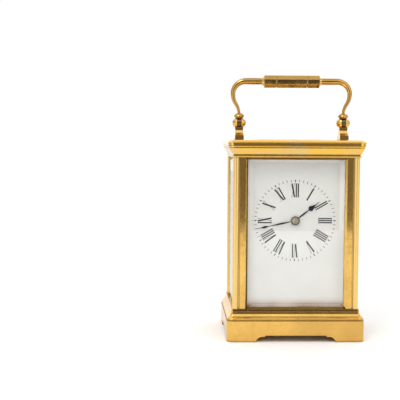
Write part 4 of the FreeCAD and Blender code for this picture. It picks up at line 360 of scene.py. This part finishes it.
def enamel(name):
    """Fired white enamel: glossy, slightly uneven, and browned where it meets the base by a
    painted reflection of the brass.
    """
    item, graph, output, place = material(name)
    tone = graph.ramp(graph.noise(place, ENAMEL_SCALE), [(0.3, 0.0), (0.75, 1.0)])
    base = graph.mix(tone, rgba(ENAMEL_WHITE), rgba(ENAMEL_GREY))
    # Painted reflection: the dial turns brown towards its foot, as if mirroring the brass ledge.
    height = graph.axes(place)[2]
    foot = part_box("base_plinth")[1].z + LEDGE_REFLECTION_FOOT * MM
    ledge_reflection = graph.step(height, foot + LEDGE_REFLECTION_TOP * MM, foot)
    patches = graph.ramp(graph.noise(place, LEDGE_REFLECTION_SCALE, detail=3.0), [(0.35, 0.45), (0.65, 1.0)])
    ledge_reflection = graph.math("MULTIPLY", graph.math("POWER", ledge_reflection, LEDGE_REFLECTION_FADE), patches)
    base = graph.mix(ledge_reflection, base, rgba(LEDGE_REFLECTION_COLOUR))
    bump = graph.node("ShaderNodeBump", {
        "Strength": 0.15, "Distance": RIPPLE_DEPTH * MM,
        "Height": graph.noise(place, RIPPLE_SCALE, detail=3.0, roughness=0.5),
    })
    shader = graph.node("ShaderNodeBsdfPrincipled", {
        "Base Color": base, "Roughness": 0.28, "IOR": GLASS_INDEX, "Normal": bump.outputs[0],
        "Coat Weight": 0.3, "Coat Roughness": 0.08,
    })
    graph.link(shader.outputs[0], output.inputs["Surface"])
    return item


def ink(name):
    """Black fired onto the enamel, a little thin and uneven at a fine scale."""
    item, graph, output, place = material(name)
    tone = graph.ramp(graph.noise(place, INK_SCALE), [(0.35, 0.0), (0.8, 1.0)])
    base = graph.mix(tone, rgba(INK_BLACK), rgba(INK_THIN))
    shader = graph.node("ShaderNodeBsdfPrincipled", {
        "Base Color": base, "Roughness": graph.ramp(tone, [(0.0, 0.30), (1.0, 0.5)]),
        "IOR": GLASS_INDEX,
    })
    graph.link(shader.outputs[0], output.inputs["Surface"])
    return item


# ---------------------------------------------------------------- finishes

BRASS = metal("brass_case", (0.90, 0.575, 0.16), (0.66, 0.37, 0.085), 0.11, grime_and_shade=0.75)
BRASS_HANDLE = metal("brass_handle", (0.90, 0.575, 0.17), (0.64, 0.36, 0.09), 0.10, speckle=0.3)
# The bails' brass is a darker copy of the case brass: painted shade for the dark room that the
# thin rods reflect.
BRASS_BAIL = bail_metal("brass_bail", (0.64, 0.38, 0.11), (0.42, 0.22, 0.055), 0.09)
BRASS_GRIP = metal(
    "brass_grip", (0.90, 0.57, 0.18), (0.60, 0.31, 0.09), 0.028, speckle=0.05, grime_and_shade=0.9,
    scratch=0.01, patina=0.05, edge=0.3,
)
# Near-black brass for the sills at the glass's foot and head: painted shade for the dark line
# there.
BRASS_SHADED_SILL = metal(
    "brass_sill_painted_shade", (0.34, 0.19, 0.05), (0.12, 0.06, 0.015), 0.22, speckle=0.5, edge=0.05
)
BRASS_BASE = metal(
    "brass_base", (0.96, 0.58, 0.145), (0.66, 0.38, 0.10), 0.12, speckle=0.25, grime_and_shade=0.8,
    patina=0.22, cloud=32.0, drift=0.60, shift=(0.42, 0.62),
)
# The top frame's slow clouds go to a paler, whiter brass: painted reflections.
BRASS_TOP = metal(
    "brass_top", (1.0, 0.58, 0.09), (0.84, 0.60, 0.25), 0.10, speckle=0.20, grime_and_shade=0.75,
    patina=0.12, cloud=30.0, drift=0.95, shift=(0.49, 0.60),
)
BRASS_PILLAR = pillar_metal("brass_pillar", (0.90, 0.575, 0.16), (0.66, 0.37, 0.085), 0.08)
GILT = metal(
    "gilt_movement", (0.86, 0.60, 0.22), (0.74, 0.48, 0.15), 0.34, speckle=0.5, grime_and_shade=0.35,
    grain=2600.0,
)
STEEL = metal(
    "steel_bright", (0.56, 0.55, 0.53), (0.38, 0.37, 0.36), 0.22, speckle=0.4,
    grime_and_shade_colour=(0.02, 0.02, 0.02),
)
BLUED = metal(
    "steel_blued", (0.030, 0.032, 0.042), (0.012, 0.013, 0.020), 0.24, speckle=0.6, edge=0.05,
    grime_and_shade_colour=(0.006, 0.006, 0.007), grain=3000.0,
)
COPPER = metal(
    "copper", (0.80, 0.42, 0.27), (0.55, 0.25, 0.14), 0.30, speckle=0.5,
    grime_and_shade_colour=(0.03, 0.012, 0.006),
)
# Painted reflection: the collet's rim is brass coloured near black, for the dark room it
# reflects.
COLLET_RIM_PAINTED_REFLECTION = metal(
    "brass_collet_rim_painted_reflection", (0.16, 0.13, 0.07), (0.07, 0.055, 0.03), 0.24, speckle=0.5, edge=0.05
)
COLLET_FACE = metal(
    "brass_collet", (0.55, 0.47, 0.33), (0.30, 0.24, 0.15), 0.26, speckle=0.5, edge=0.05
)
GLASS = glass("glass_bevelled")
ENAMEL = enamel("enamel_white")
INK = ink("enamel_black")

FINISHES = {
    "polished_brass": BRASS,
    "gilt_brass": GILT,
    "bevelled_glass": GLASS,
    "blued_steel": BLUED,
    "steel": STEEL,
    "enamel": ENAMEL,
    "copper": COPPER,
}
NODE_FINISHES = {
    "pillar_front_left": BRASS_PILLAR,
    "pillar_front_right": BRASS_PILLAR,
    "pillar_rear_left": BRASS_PILLAR,
    "pillar_rear_right": BRASS_PILLAR,
    "base_plinth": BRASS_BASE,
    "top_frame": BRASS_TOP,
    "handle_grip": BRASS_GRIP,
    "handle_bail_left": BRASS_BAIL,
    "handle_bail_right": BRASS_BAIL,
    "handle_post_left": BRASS_HANDLE,
    "handle_post_right": BRASS_HANDLE,
}


def finish_nodes():
    """Gives each carried-over node its own finish, or else that of its slot."""
    for part in frame["record"]["subparts"]:
        item = nodes[part["node"]]
        wanted = NODE_FINISHES.get(part["node"], FINISHES[part["material_slot"]])
        if not item.material_slots:
            item.data.materials.append(wanted)
        for slot in item.material_slots:
            slot.material = wanted


# ---------------------------------------------------------------- pieces

CREASE_ANGLE = 35
TURNED_SIDES = 72
# The arbor that carries the hands: its height is the middle of their collet.
COLLET_LOW, COLLET_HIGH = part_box("hand_collet")
CENTRE = Vector((0.0, 0.0, (COLLET_LOW.z + COLLET_HIGH.z) / 2))


def placed(name, data):
    """A new object in the scene."""
    item = bpy.data.objects.new(name, data)
    bpy.context.scene.collection.objects.link(item)
    return item


def piece(name, mesh, finish, body, replaced=(), smooth=True):
    """A piece of the clock on a body, with its finish and the nodes that it stands for."""
    item = placed(name, mesh)
    mesh.materials.append(finish)
    if smooth:
        mesh.shade_smooth()
    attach(item, body)
    if replaced:
        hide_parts(*replaced)
    return item


def mesh_of(name, points, faces):
    mesh = bpy.data.meshes.new(name)
    mesh.from_pydata(points, [], faces)
    mesh.validate()
    return mesh


def slab(outline, near, far):
    """Points and faces of a flat outline given a thickness along Y; near is the front."""
    count = len(outline)
    points = [(x, near, z) for x, z in outline] + [(x, far, z) for x, z in outline]
    faces = [tuple(range(count)), tuple(range(2 * count - 1, count - 1, -1))]
    faces += [
        (number, number + count, (number + 1) % count + count, (number + 1) % count)
        for number in range(count)
    ]
    return points, faces


def joined(parts):
    """Several lists of points and faces as one."""
    points = []
    faces = []
    for more_points, more_faces in parts:
        start = len(points)
        points += more_points
        faces += [tuple(start + index for index in face) for face in more_faces]
    return points, faces


def turned_profile(profile, back, front):
    """A ring turned about the centre arbor; the profile is (radius in mm, share of the depth)."""
    points = []
    faces = []
    count = len(profile)
    for side in range(TURNED_SIDES):
        turn = 2 * math.pi * side / TURNED_SIDES
        for radius, share in profile:
            points.append((
                CENTRE.x + radius * MM * math.sin(turn),
                back + (front - back) * share,
                CENTRE.z + radius * MM * math.cos(turn),
            ))
    for side in range(TURNED_SIDES):
        other = (side + 1) % TURNED_SIDES
        for number in range(count):
            after = (number + 1) % count
            faces.append((
                side * count + number, side * count + after,
                other * count + after, other * count + number,
            ))
    return points, faces


def soften(item):
    """Turns every face outward, and shades smoothly except at edges that are creases."""
    mesh = item.data
    work = bmesh.new()
    work.from_mesh(mesh)
    bmesh.ops.recalc_face_normals(work, faces=work.faces)
    for edge in work.edges:
        if len(edge.link_faces) == 2:
            edge.smooth = edge.calc_face_angle() < math.radians(CREASE_ANGLE)
    work.to_mesh(mesh)
    work.free()


# ---------------------------------------------------------------- dial print

DIAL_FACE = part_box("dial")[0].y
# How far the print stands out of the dial's face, and how far it goes in, in mm.
PRINT_PROUD = 0.03
PRINT_SUNK = 0.02

# Numerals: radii of their feet and tops, widths of their strokes, and the step from one I to
# the next, in mm. A lone I, and the thick stroke of a V or an X, is BROAD times a STROKE.
NUMERALS = ("I", "II", "III", "IIII", "V", "VI", "VII", "VIII", "IX", "X", "XI", "XII")
NUMERAL_FOOT = 15.5
NUMERAL_TOP = 24.3
STROKE = 0.80
BROAD = 1.25
HAIRLINE = 0.22
SERIF = 0.20
PITCH = 1.33
I_SERIF = 0.98 * PITCH
# Places of strokes from a letter's left side, its width and its serifs' widths, in mm.
V_FOOT, V_FOOT_STEP, V_LEFT, V_RIGHT, V_WIDTH = 1.45, 0.2, 0.45, 2.45, 2.65
V_BROAD_SERIF, V_THIN_SERIF = 1.2, 0.8
X_LEFT, X_RIGHT, X_WIDTH, X_SERIF = 0.5, 2.25, 2.75, 1.0

# Minute marks: outlines of (distance beside the line, radius) in mm, at six degrees each.
MINUTE_MARK = [(-0.16, 25.4), (0.16, 25.4), (0.16, 26.9), (-0.16, 26.9)]
FIVE_MINUTE_MARK = [
    (0, 25.0), (0.34, 25.7), (0.34, 26.4), (0, 27.1), (-0.34, 26.4), (-0.34, 25.7),
]


def bar(foot_x, top_x, width):
    """A stroke from the foot to the top of a numeral, with the same width all along."""
    half = width / 2
    return [
        (foot_x - half, NUMERAL_FOOT), (foot_x + half, NUMERAL_FOOT),
        (top_x + half, NUMERAL_TOP), (top_x - half, NUMERAL_TOP),
    ]


def serif(x, radius, width):
    """A short cross stroke at the end of a stroke."""
    half = width / 2
    return [
        (x - half, radius - SERIF / 2), (x + half, radius - SERIF / 2),
        (x + half, radius + SERIF / 2), (x - half, radius + SERIF / 2),
    ]


def numeral_strokes(text):
    """Strokes of a Roman numeral, centred on its hour line, in millimetres."""
    strokes = []
    place = 0.0
    for letter in text:
        if letter == "I":
            x = place + PITCH / 2
            strokes.append(bar(x, x, STROKE * BROAD if text == "I" else STROKE))
            strokes.append(serif(x, NUMERAL_TOP, I_SERIF))
            strokes.append(serif(x, NUMERAL_FOOT, I_SERIF))
            place += PITCH
        elif letter == "V":
            foot, left, right = place + V_FOOT, place + V_LEFT, place + V_RIGHT
            strokes.append(bar(foot, left, STROKE * BROAD))
            strokes.append(bar(foot + V_FOOT_STEP, right, HAIRLINE))
            strokes.append(serif(left, NUMERAL_TOP, V_BROAD_SERIF))
            strokes.append(serif(right, NUMERAL_TOP, V_THIN_SERIF))
            place += V_WIDTH
        else:
            left, right = place + X_LEFT, place + X_RIGHT
            strokes.append(bar(right, left, STROKE * BROAD))
            strokes.append(bar(left, right, HAIRLINE))
            for radius in (NUMERAL_FOOT, NUMERAL_TOP):
                strokes.append(serif(left, radius, X_SERIF))
                strokes.append(serif(right, radius, X_SERIF))
            place += X_WIDTH
    middle = place / 2
    return [[(x - middle, radius) for x, radius in stroke] for stroke in strokes]


def round_dial(x, radius, angle):
    """A point beside the line at an angle clockwise from twelve, x and radius in mm."""
    turn = math.radians(angle)
    return (
        CENTRE.x + (x * math.cos(turn) + radius * math.sin(turn)) * MM,
        CENTRE.z + (radius * math.cos(turn) - x * math.sin(turn)) * MM,
    )


def make_print(name, marks):
    """One piece of flat print, from (outline in mm, angle) marks."""
    near, far = DIAL_FACE - PRINT_PROUD * MM, DIAL_FACE + PRINT_SUNK * MM
    parts = [
        slab([round_dial(x, radius, angle) for x, radius in outline], near, far)
        for outline, angle in marks
    ]
    piece(name, mesh_of(name, *joined(parts)), INK, "case", smooth=False)


def make_dial_print():
    make_print("dial_numerals", [
        (stroke, 30 * hour)
        for hour, text in enumerate(NUMERALS, start=1)
        for stroke in numeral_strokes(text)
    ])
    make_print("dial_minutes", [
        (MINUTE_MARK if minute % 5 else FIVE_MINUTE_MARK, 6 * minute) for minute in range(60)
    ])


# ---------------------------------------------------------------- hands

# Where the hands point, in degrees clockwise from twelve.
HOUR_ANGLE = 52.5
MINUTE_ANGLE = 258.0
# Each hand's half width at radii along it: (radius, half width), in mm.
HOUR_STATIONS = [
    (1.5, 0.26), (2.6, 0.26), (6.6, 0.53), (11.3, 0.25), (11.9, 1.05), (12.8, 1.8),
    (14.2, 1.35), (15.7, 0.72), (17.1, 0.27), (20.1, 0.10),
]
MINUTE_STATIONS = [
    (1.2, 0.25), (2.6, 0.25), (9.4, 0.53), (17.7, 0.20), (18.9, 0.42), (20.3, 0.78),
    (21.6, 0.5), (23.0, 0.20), (26.8, 0.09),
]
# Outer radius of each hand's boss and radius of its bore, in mm.
HOUR_BOSS, HOUR_BORE = 2.7, 0.9
MINUTE_BOSS, MINUTE_BORE = 2.5, 0.7
# A boss's edges: taken off behind and in front, in mm, and the side's height as a share.
BOSS_FOOT = 0.05
BOSS_BEVEL = 0.12
BOSS_SIDE = 0.75
HAND_STEPS = 96
# A hand's crowned front: (share of the half width, share of the crown's height). The crown
# takes half the thickness at most, and less where the hand is narrow.
CROWN = (
    (-1, 0.0), (-0.86, 0.62), (-0.4, 0.93), (0, 1.0), (0.4, 0.93), (0.86, 0.62), (1, 0.0),
)
CROWN_MOST = 0.5
CROWN_WIDTH = 1.2
# The collet's section, as (radius in mm, share of the depth), and where its rim, darkened as a
# painted reflection, starts.
COLLET_PROFILE = [
    (0.62, 0.0), (2.85, 0.0), (3.0, 0.2), (3.0, 0.6), (2.75, 0.9), (2.35, 1.0), (2.2, 0.75),
    (1.5, 0.66), (1.3, 0.72), (1.15, 0.95), (0.62, 1.0),
]
COLLET_EDGE = 2.25


def eased(stations, radius):
    """The half width at a radius, smoothly between (radius, half width) stations."""
    for (start, first), (end, last) in zip(stations, stations[1:]):
        if radius <= end:
            share = (radius - start) / (end - start)
            share = share * share * (3 - 2 * share)
            return first + (last - first) * share
    return stations[-1][1]


def hand_arm(stations, angle, back, front):
    """Points and faces of a hand's arm, crowned in front and flat behind."""
    first, last = stations[0][0], stations[-1][0]
    points = []
    faces = []
    rows = []
    for number in range(HAND_STEPS + 1):
        radius = first + (last - first) * number / HAND_STEPS
        half = eased(stations, radius)
        crown = min(CROWN_MOST, half / CROWN_WIDTH)
        ring = []
        for across, height in CROWN:
            x, z = round_dial(across * half, radius, angle)
            depth = back + (front - back) * (1 - crown + crown * height)
            ring.append(len(points))
            points.append((x, depth, z))
        for across in (1, -1):
            x, z = round_dial(across * half, radius, angle)
            ring.append(len(points))
            points.append((x, back, z))
        rows.append(ring)
    for near, far in zip(rows, rows[1:]):
        for number in range(len(near)):
            after = (number + 1) % len(near)
            faces.append((near[number], near[after], far[after], far[number]))
    faces.append(tuple(reversed(rows[0])))
    faces.append(tuple(rows[-1]))
    return points, faces


def make_hand(name, angle, stations, boss, bore, body, node):
    """A hand in place of a CAD hand: a round boss, a swelling arm, a drop and a fine tip."""
    low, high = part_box(node)
    arm = hand_arm(stations, angle, high.y, low.y)
    disc = turned_profile([
        (bore, 0.0), (boss - BOSS_FOOT, 0.0), (boss, 0.05), (boss, BOSS_SIDE),
        (boss - BOSS_BEVEL, 1.0), (bore, 1.0),
    ], high.y, low.y)
    item = piece(name, mesh_of(name, *joined([arm, disc])), BLUED, body, [node])
    soften(item)


def make_hands():
    make_hand("hour_hand_blued", HOUR_ANGLE, HOUR_STATIONS, HOUR_BOSS, HOUR_BORE,
              "hour", "hour_hand")
    make_hand("minute_hand_blued", MINUTE_ANGLE, MINUTE_STATIONS, MINUTE_BOSS, MINUTE_BORE,
              "centre", "minute_hand")


def make_collet():
    """The turned collet that holds the hands, with a rim darkened as a painted reflection."""
    name = "hand_collet_turned"
    ring = turned_profile(COLLET_PROFILE, COLLET_HIGH.y, COLLET_LOW.y)
    item = piece(name, mesh_of(name, *ring), COLLET_FACE, "centre",
                 ["hand_collet"])
    item.data.materials.append(COLLET_RIM_PAINTED_REFLECTION)
    for face in item.data.polygons:
        across = math.hypot(face.center.x - CENTRE.x, face.center.z - CENTRE.z)
        face.material_index = 1 if across > COLLET_EDGE * MM else 0
    soften(item)


# ---------------------------------------------------------------- front opening

# The sloping edges' height and depth, and their distance from the glass, in mm.
SILL = 1.3
SILL_GAP = 0.05


def make_sills():
    """Sloping brass edges at the foot and the head of the opening, in front of the glass, dark as
    painted shade.
    """
    glass_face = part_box("front_glass")[0].y - SILL_GAP * MM
    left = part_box("pillar_front_left")[1].x
    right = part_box("pillar_front_right")[0].x
    floor_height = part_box("base_plinth")[1].z
    head_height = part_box("top_frame")[0].z
    for name, height, rise in (("front_sill", floor_height, 1), ("front_head", head_height, -1)):
        profile = [
            (glass_face - SILL * MM, height), (glass_face, height),
            (glass_face, height + rise * SILL * MM),
        ]
        points = [(x, y, z) for x in (left, right) for y, z in profile]
        faces = [(0, 1, 2), (5, 4, 3), (0, 3, 4, 1), (1, 4, 5, 2), (2, 5, 3, 0)]
        item = piece(name, mesh_of(name, points, faces), BRASS_SHADED_SILL, "case",
                     smooth=False)
        soften(item)


# ---------------------------------------------------------------- camera

# Fitted to the case's corners in the photograph: place in metres, angles in radians, lens in mm.
CAMERA_PLACE = Vector((-0.0790, -0.6345, 0.1335))
CAMERA_YAW = 0.0272
CAMERA_PITCH = 0.0685
CAMERA_ROLL = 0.0051
CAMERA_LENS = 83.86
CAMERA_SENSOR = 36.0
CAMERA_NEAR, CAMERA_FAR = 0.01, 20.0


def make_camera():
    data = bpy.data.cameras.new("camera")
    data.lens = CAMERA_LENS
    data.sensor_width = CAMERA_SENSOR
    data.clip_start = CAMERA_NEAR
    data.clip_end = CAMERA_FAR
    item = placed("camera", data)
    forward = Vector((
        math.sin(CAMERA_YAW) * math.cos(CAMERA_PITCH),
        math.cos(CAMERA_YAW) * math.cos(CAMERA_PITCH),
        -math.sin(CAMERA_PITCH),
    ))
    right = Vector((math.cos(CAMERA_YAW), -math.sin(CAMERA_YAW), 0.0))
    up = right.cross(forward)
    rolled_right = right * math.cos(CAMERA_ROLL) + up * math.sin(CAMERA_ROLL)
    rolled_up = up * math.cos(CAMERA_ROLL) - right * math.sin(CAMERA_ROLL)
    turn = Matrix((rolled_right, rolled_up, -forward)).transposed()
    item.matrix_world = Matrix.Translation(CAMERA_PLACE) @ turn.to_4x4()
    bpy.context.scene.camera = item


# ---------------------------------------------------------------- world and lights

# The world in degrees: turn is round from the front (-Y) to either side, and rise is up from
# the horizon. Each pair is where a change starts and where it ends.
ROOM_SIDE = (13.5, 19.5)
ROOM_CEILING = (26.0, 34.0)
# The dim room's colours from below to above, and the rises where one turns into the next.
ROOM_FLOOR = (0.085, 0.080, 0.085)
ROOM_LOW = (0.21, 0.195, 0.20)
ROOM_HIGH = (0.088, 0.083, 0.095)
ROOM_TOP = (0.165, 0.155, 0.16)
FLOOR_TO_LOW = (-10.5, -7.0)
LOW_TO_HIGH = (-2.0, 4.5)
HIGH_TO_TOP = (9.0, 19.0)
# The studio round it: its brightness, and where its sides and its top are dimmer.
FRONT_LEVEL = 1.15
SIDE_LEVEL = 0.60
SIDE_STARTS = (48.0, 62.0)
SIDE_ENDS = (112.0, 135.0)
SIDE_TOP = (30.0, 55.0)
CEILING_LEVEL = 0.60
CEILING_STARTS = (62.0, 78.0)
BACKDROP = (1.02, 1.02, 1.02)

# Name, place in metres, side in metres, power in watts, colour, and whether metal mirrors it.
LIGHTS = (
    ("key", (-0.35, -0.60, 0.95), 0.30, 2.2, (1.0, 0.98, 0.95), True),
    ("fill", (0.95, -0.35, 0.60), 0.60, 0.6, (1.0, 0.99, 0.98), True),
    ("front", (-0.30, -1.10, 0.20), 0.70, 2.5, (1.0, 1.0, 1.0), False),
)
LIGHT_AIM = Vector((0.0, 0.0, 0.08))


def make_world():
    """A white studio with a dim room in front of the clock, seen only in reflections."""
    world = bpy.data.worlds.new("studio")
    bpy.context.scene.world = world
    graph = empty_graph(world)
    output = graph.node("ShaderNodeOutputWorld")
    direction = graph.node("ShaderNodeTexCoord").outputs["Generated"]
    across, along, height = graph.axes(direction)
    degrees = math.degrees(1.0)
    side = graph.math("ABSOLUTE", across)
    turn = graph.math("ARCTAN2", side, graph.math("MULTIPLY", along, -1.0))
    turn = graph.math("MULTIPLY", turn, degrees)
    rise = graph.math("MULTIPLY", graph.math("ARCSINE", height), degrees)

    def after(value, change):
        """0 before a change and 1 after it."""
        return graph.step(value, *change, "SMOOTHSTEP")

    def before(value, change):
        return graph.math("SUBTRACT", 1.0, after(value, change))

    def both(first, second):
        return graph.math("MULTIPLY", first, second)

    room = both(before(turn, ROOM_SIDE), before(rise, ROOM_CEILING))
    flank = both(after(turn, SIDE_STARTS), before(turn, SIDE_ENDS))
    flank = both(flank, before(rise, SIDE_TOP))
    ceiling = after(rise, CEILING_STARTS)
    level = graph.math("SUBTRACT", FRONT_LEVEL, both(flank, FRONT_LEVEL - SIDE_LEVEL))
    level = graph.math("SUBTRACT", level, both(ceiling, FRONT_LEVEL - CEILING_LEVEL))
    bright = graph.node("ShaderNodeCombineColor", {0: level, 1: level, 2: level}).outputs[0]
    dim = graph.mix(after(rise, LOW_TO_HIGH), rgba(ROOM_LOW), rgba(ROOM_HIGH))
    dim = graph.mix(after(rise, HIGH_TO_TOP), dim, rgba(ROOM_TOP))
    dim = graph.mix(after(rise, FLOOR_TO_LOW), rgba(ROOM_FLOOR), dim)
    light = graph.mix(room, bright, dim)
    rays = graph.node("ShaderNodeLightPath")
    seen = graph.mix(rays.outputs["Is Camera Ray"], light, rgba(BACKDROP))
    background = graph.node("ShaderNodeBackground", {"Color": seen, "Strength": 1.0})
    graph.link(background.outputs[0], output.inputs["Surface"])


def make_lights():
    for name, place, size, power, colour, mirrored in LIGHTS:
        data = bpy.data.lights.new(name, "AREA")
        data.shape = "SQUARE"
        data.size = size
        data.energy = power
        data.color = colour
        item = placed(name, data)
        item.visible_camera = False
        item.visible_glossy = mirrored
        item.location = place
        item.rotation_mode = "QUATERNION"
        item.rotation_quaternion = (LIGHT_AIM - Vector(place)).to_track_quat("-Z", "Y")


# ---------------------------------------------------------------- floor

# The floor's sides, front edge and back, in metres.
FLOOR_SIDE = 2.2
FLOOR_FRONT = -0.74
FLOOR_BACK = 3.0
FLOOR_LIGHT = (0.93, 0.93, 0.93)
FLOOR_DARK = (0.90, 0.90, 0.905)
FLOOR_SCALE = 9.0
# Brightness that the camera sees added to the floor, so that it meets the backdrop. It fades
# in over this many mm inside the base's footprint, which keeps the shade under the clock.
FLOOR_LIFT = 0.13
FLOOR_SHADE = 4.0


def floor_material():
    item, graph, output, place = material("floor_pale")
    tone = graph.noise(place, FLOOR_SCALE, detail=3.0, roughness=0.5)
    tone = graph.ramp(tone, [(0.3, 0.0), (0.7, 1.0)])
    base = graph.mix(tone, rgba(FLOOR_LIGHT), rgba(FLOOR_DARK))
    shader = graph.node("ShaderNodeBsdfPrincipled", {"Base Color": base, "Roughness": 0.75})
    rays = graph.node("ShaderNodeLightPath")
    sides = graph.axes(place)
    foot_low, foot_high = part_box("base_plinth")
    outside = 0.0
    for number in (0, 1):
        middle = (foot_low[number] + foot_high[number]) / 2
        half = (foot_high[number] - foot_low[number]) / 2
        off = graph.math("ABSOLUTE", graph.math("SUBTRACT", sides[number], middle))
        past = graph.step(off, half - FLOOR_SHADE * MM, half)
        outside = graph.math("MAXIMUM", past, outside)
    lift = graph.math("MULTIPLY", rays.outputs["Is Camera Ray"], FLOOR_LIFT)
    lift = graph.math("MULTIPLY", lift, outside)
    glow = graph.node("ShaderNodeEmission", {"Color": (1.0, 1.0, 1.0, 1.0), "Strength": lift})
    both = graph.node("ShaderNodeAddShader", {0: shader.outputs[0], 1: glow.outputs[0]})
    graph.link(both.outputs[0], output.inputs["Surface"])
    return item


def make_floor():
    """A pale floor that ends in front of the clock, as a table does."""
    mesh = mesh_of("floor", [
        (-FLOOR_SIDE, FLOOR_FRONT, 0.0), (FLOOR_SIDE, FLOOR_FRONT, 0.0),
        (FLOOR_SIDE, FLOOR_BACK, 0.0), (-FLOOR_SIDE, FLOOR_BACK, 0.0),
    ], [(0, 1, 2, 3)])
    mesh.materials.append(floor_material())
    item = placed("floor", mesh)
    item.location = (0.0, 0.0, CAD_BOX[0].z)


# ---------------------------------------------------------------- the whole scene

make_camera()
make_world()
make_lights()
make_floor()
finish_nodes()
make_dial_print()
make_hands()
make_collet()
make_sills()

scene = bpy.context.scene
scene.view_settings.view_transform = "Standard"
scene.view_settings.look = "None"
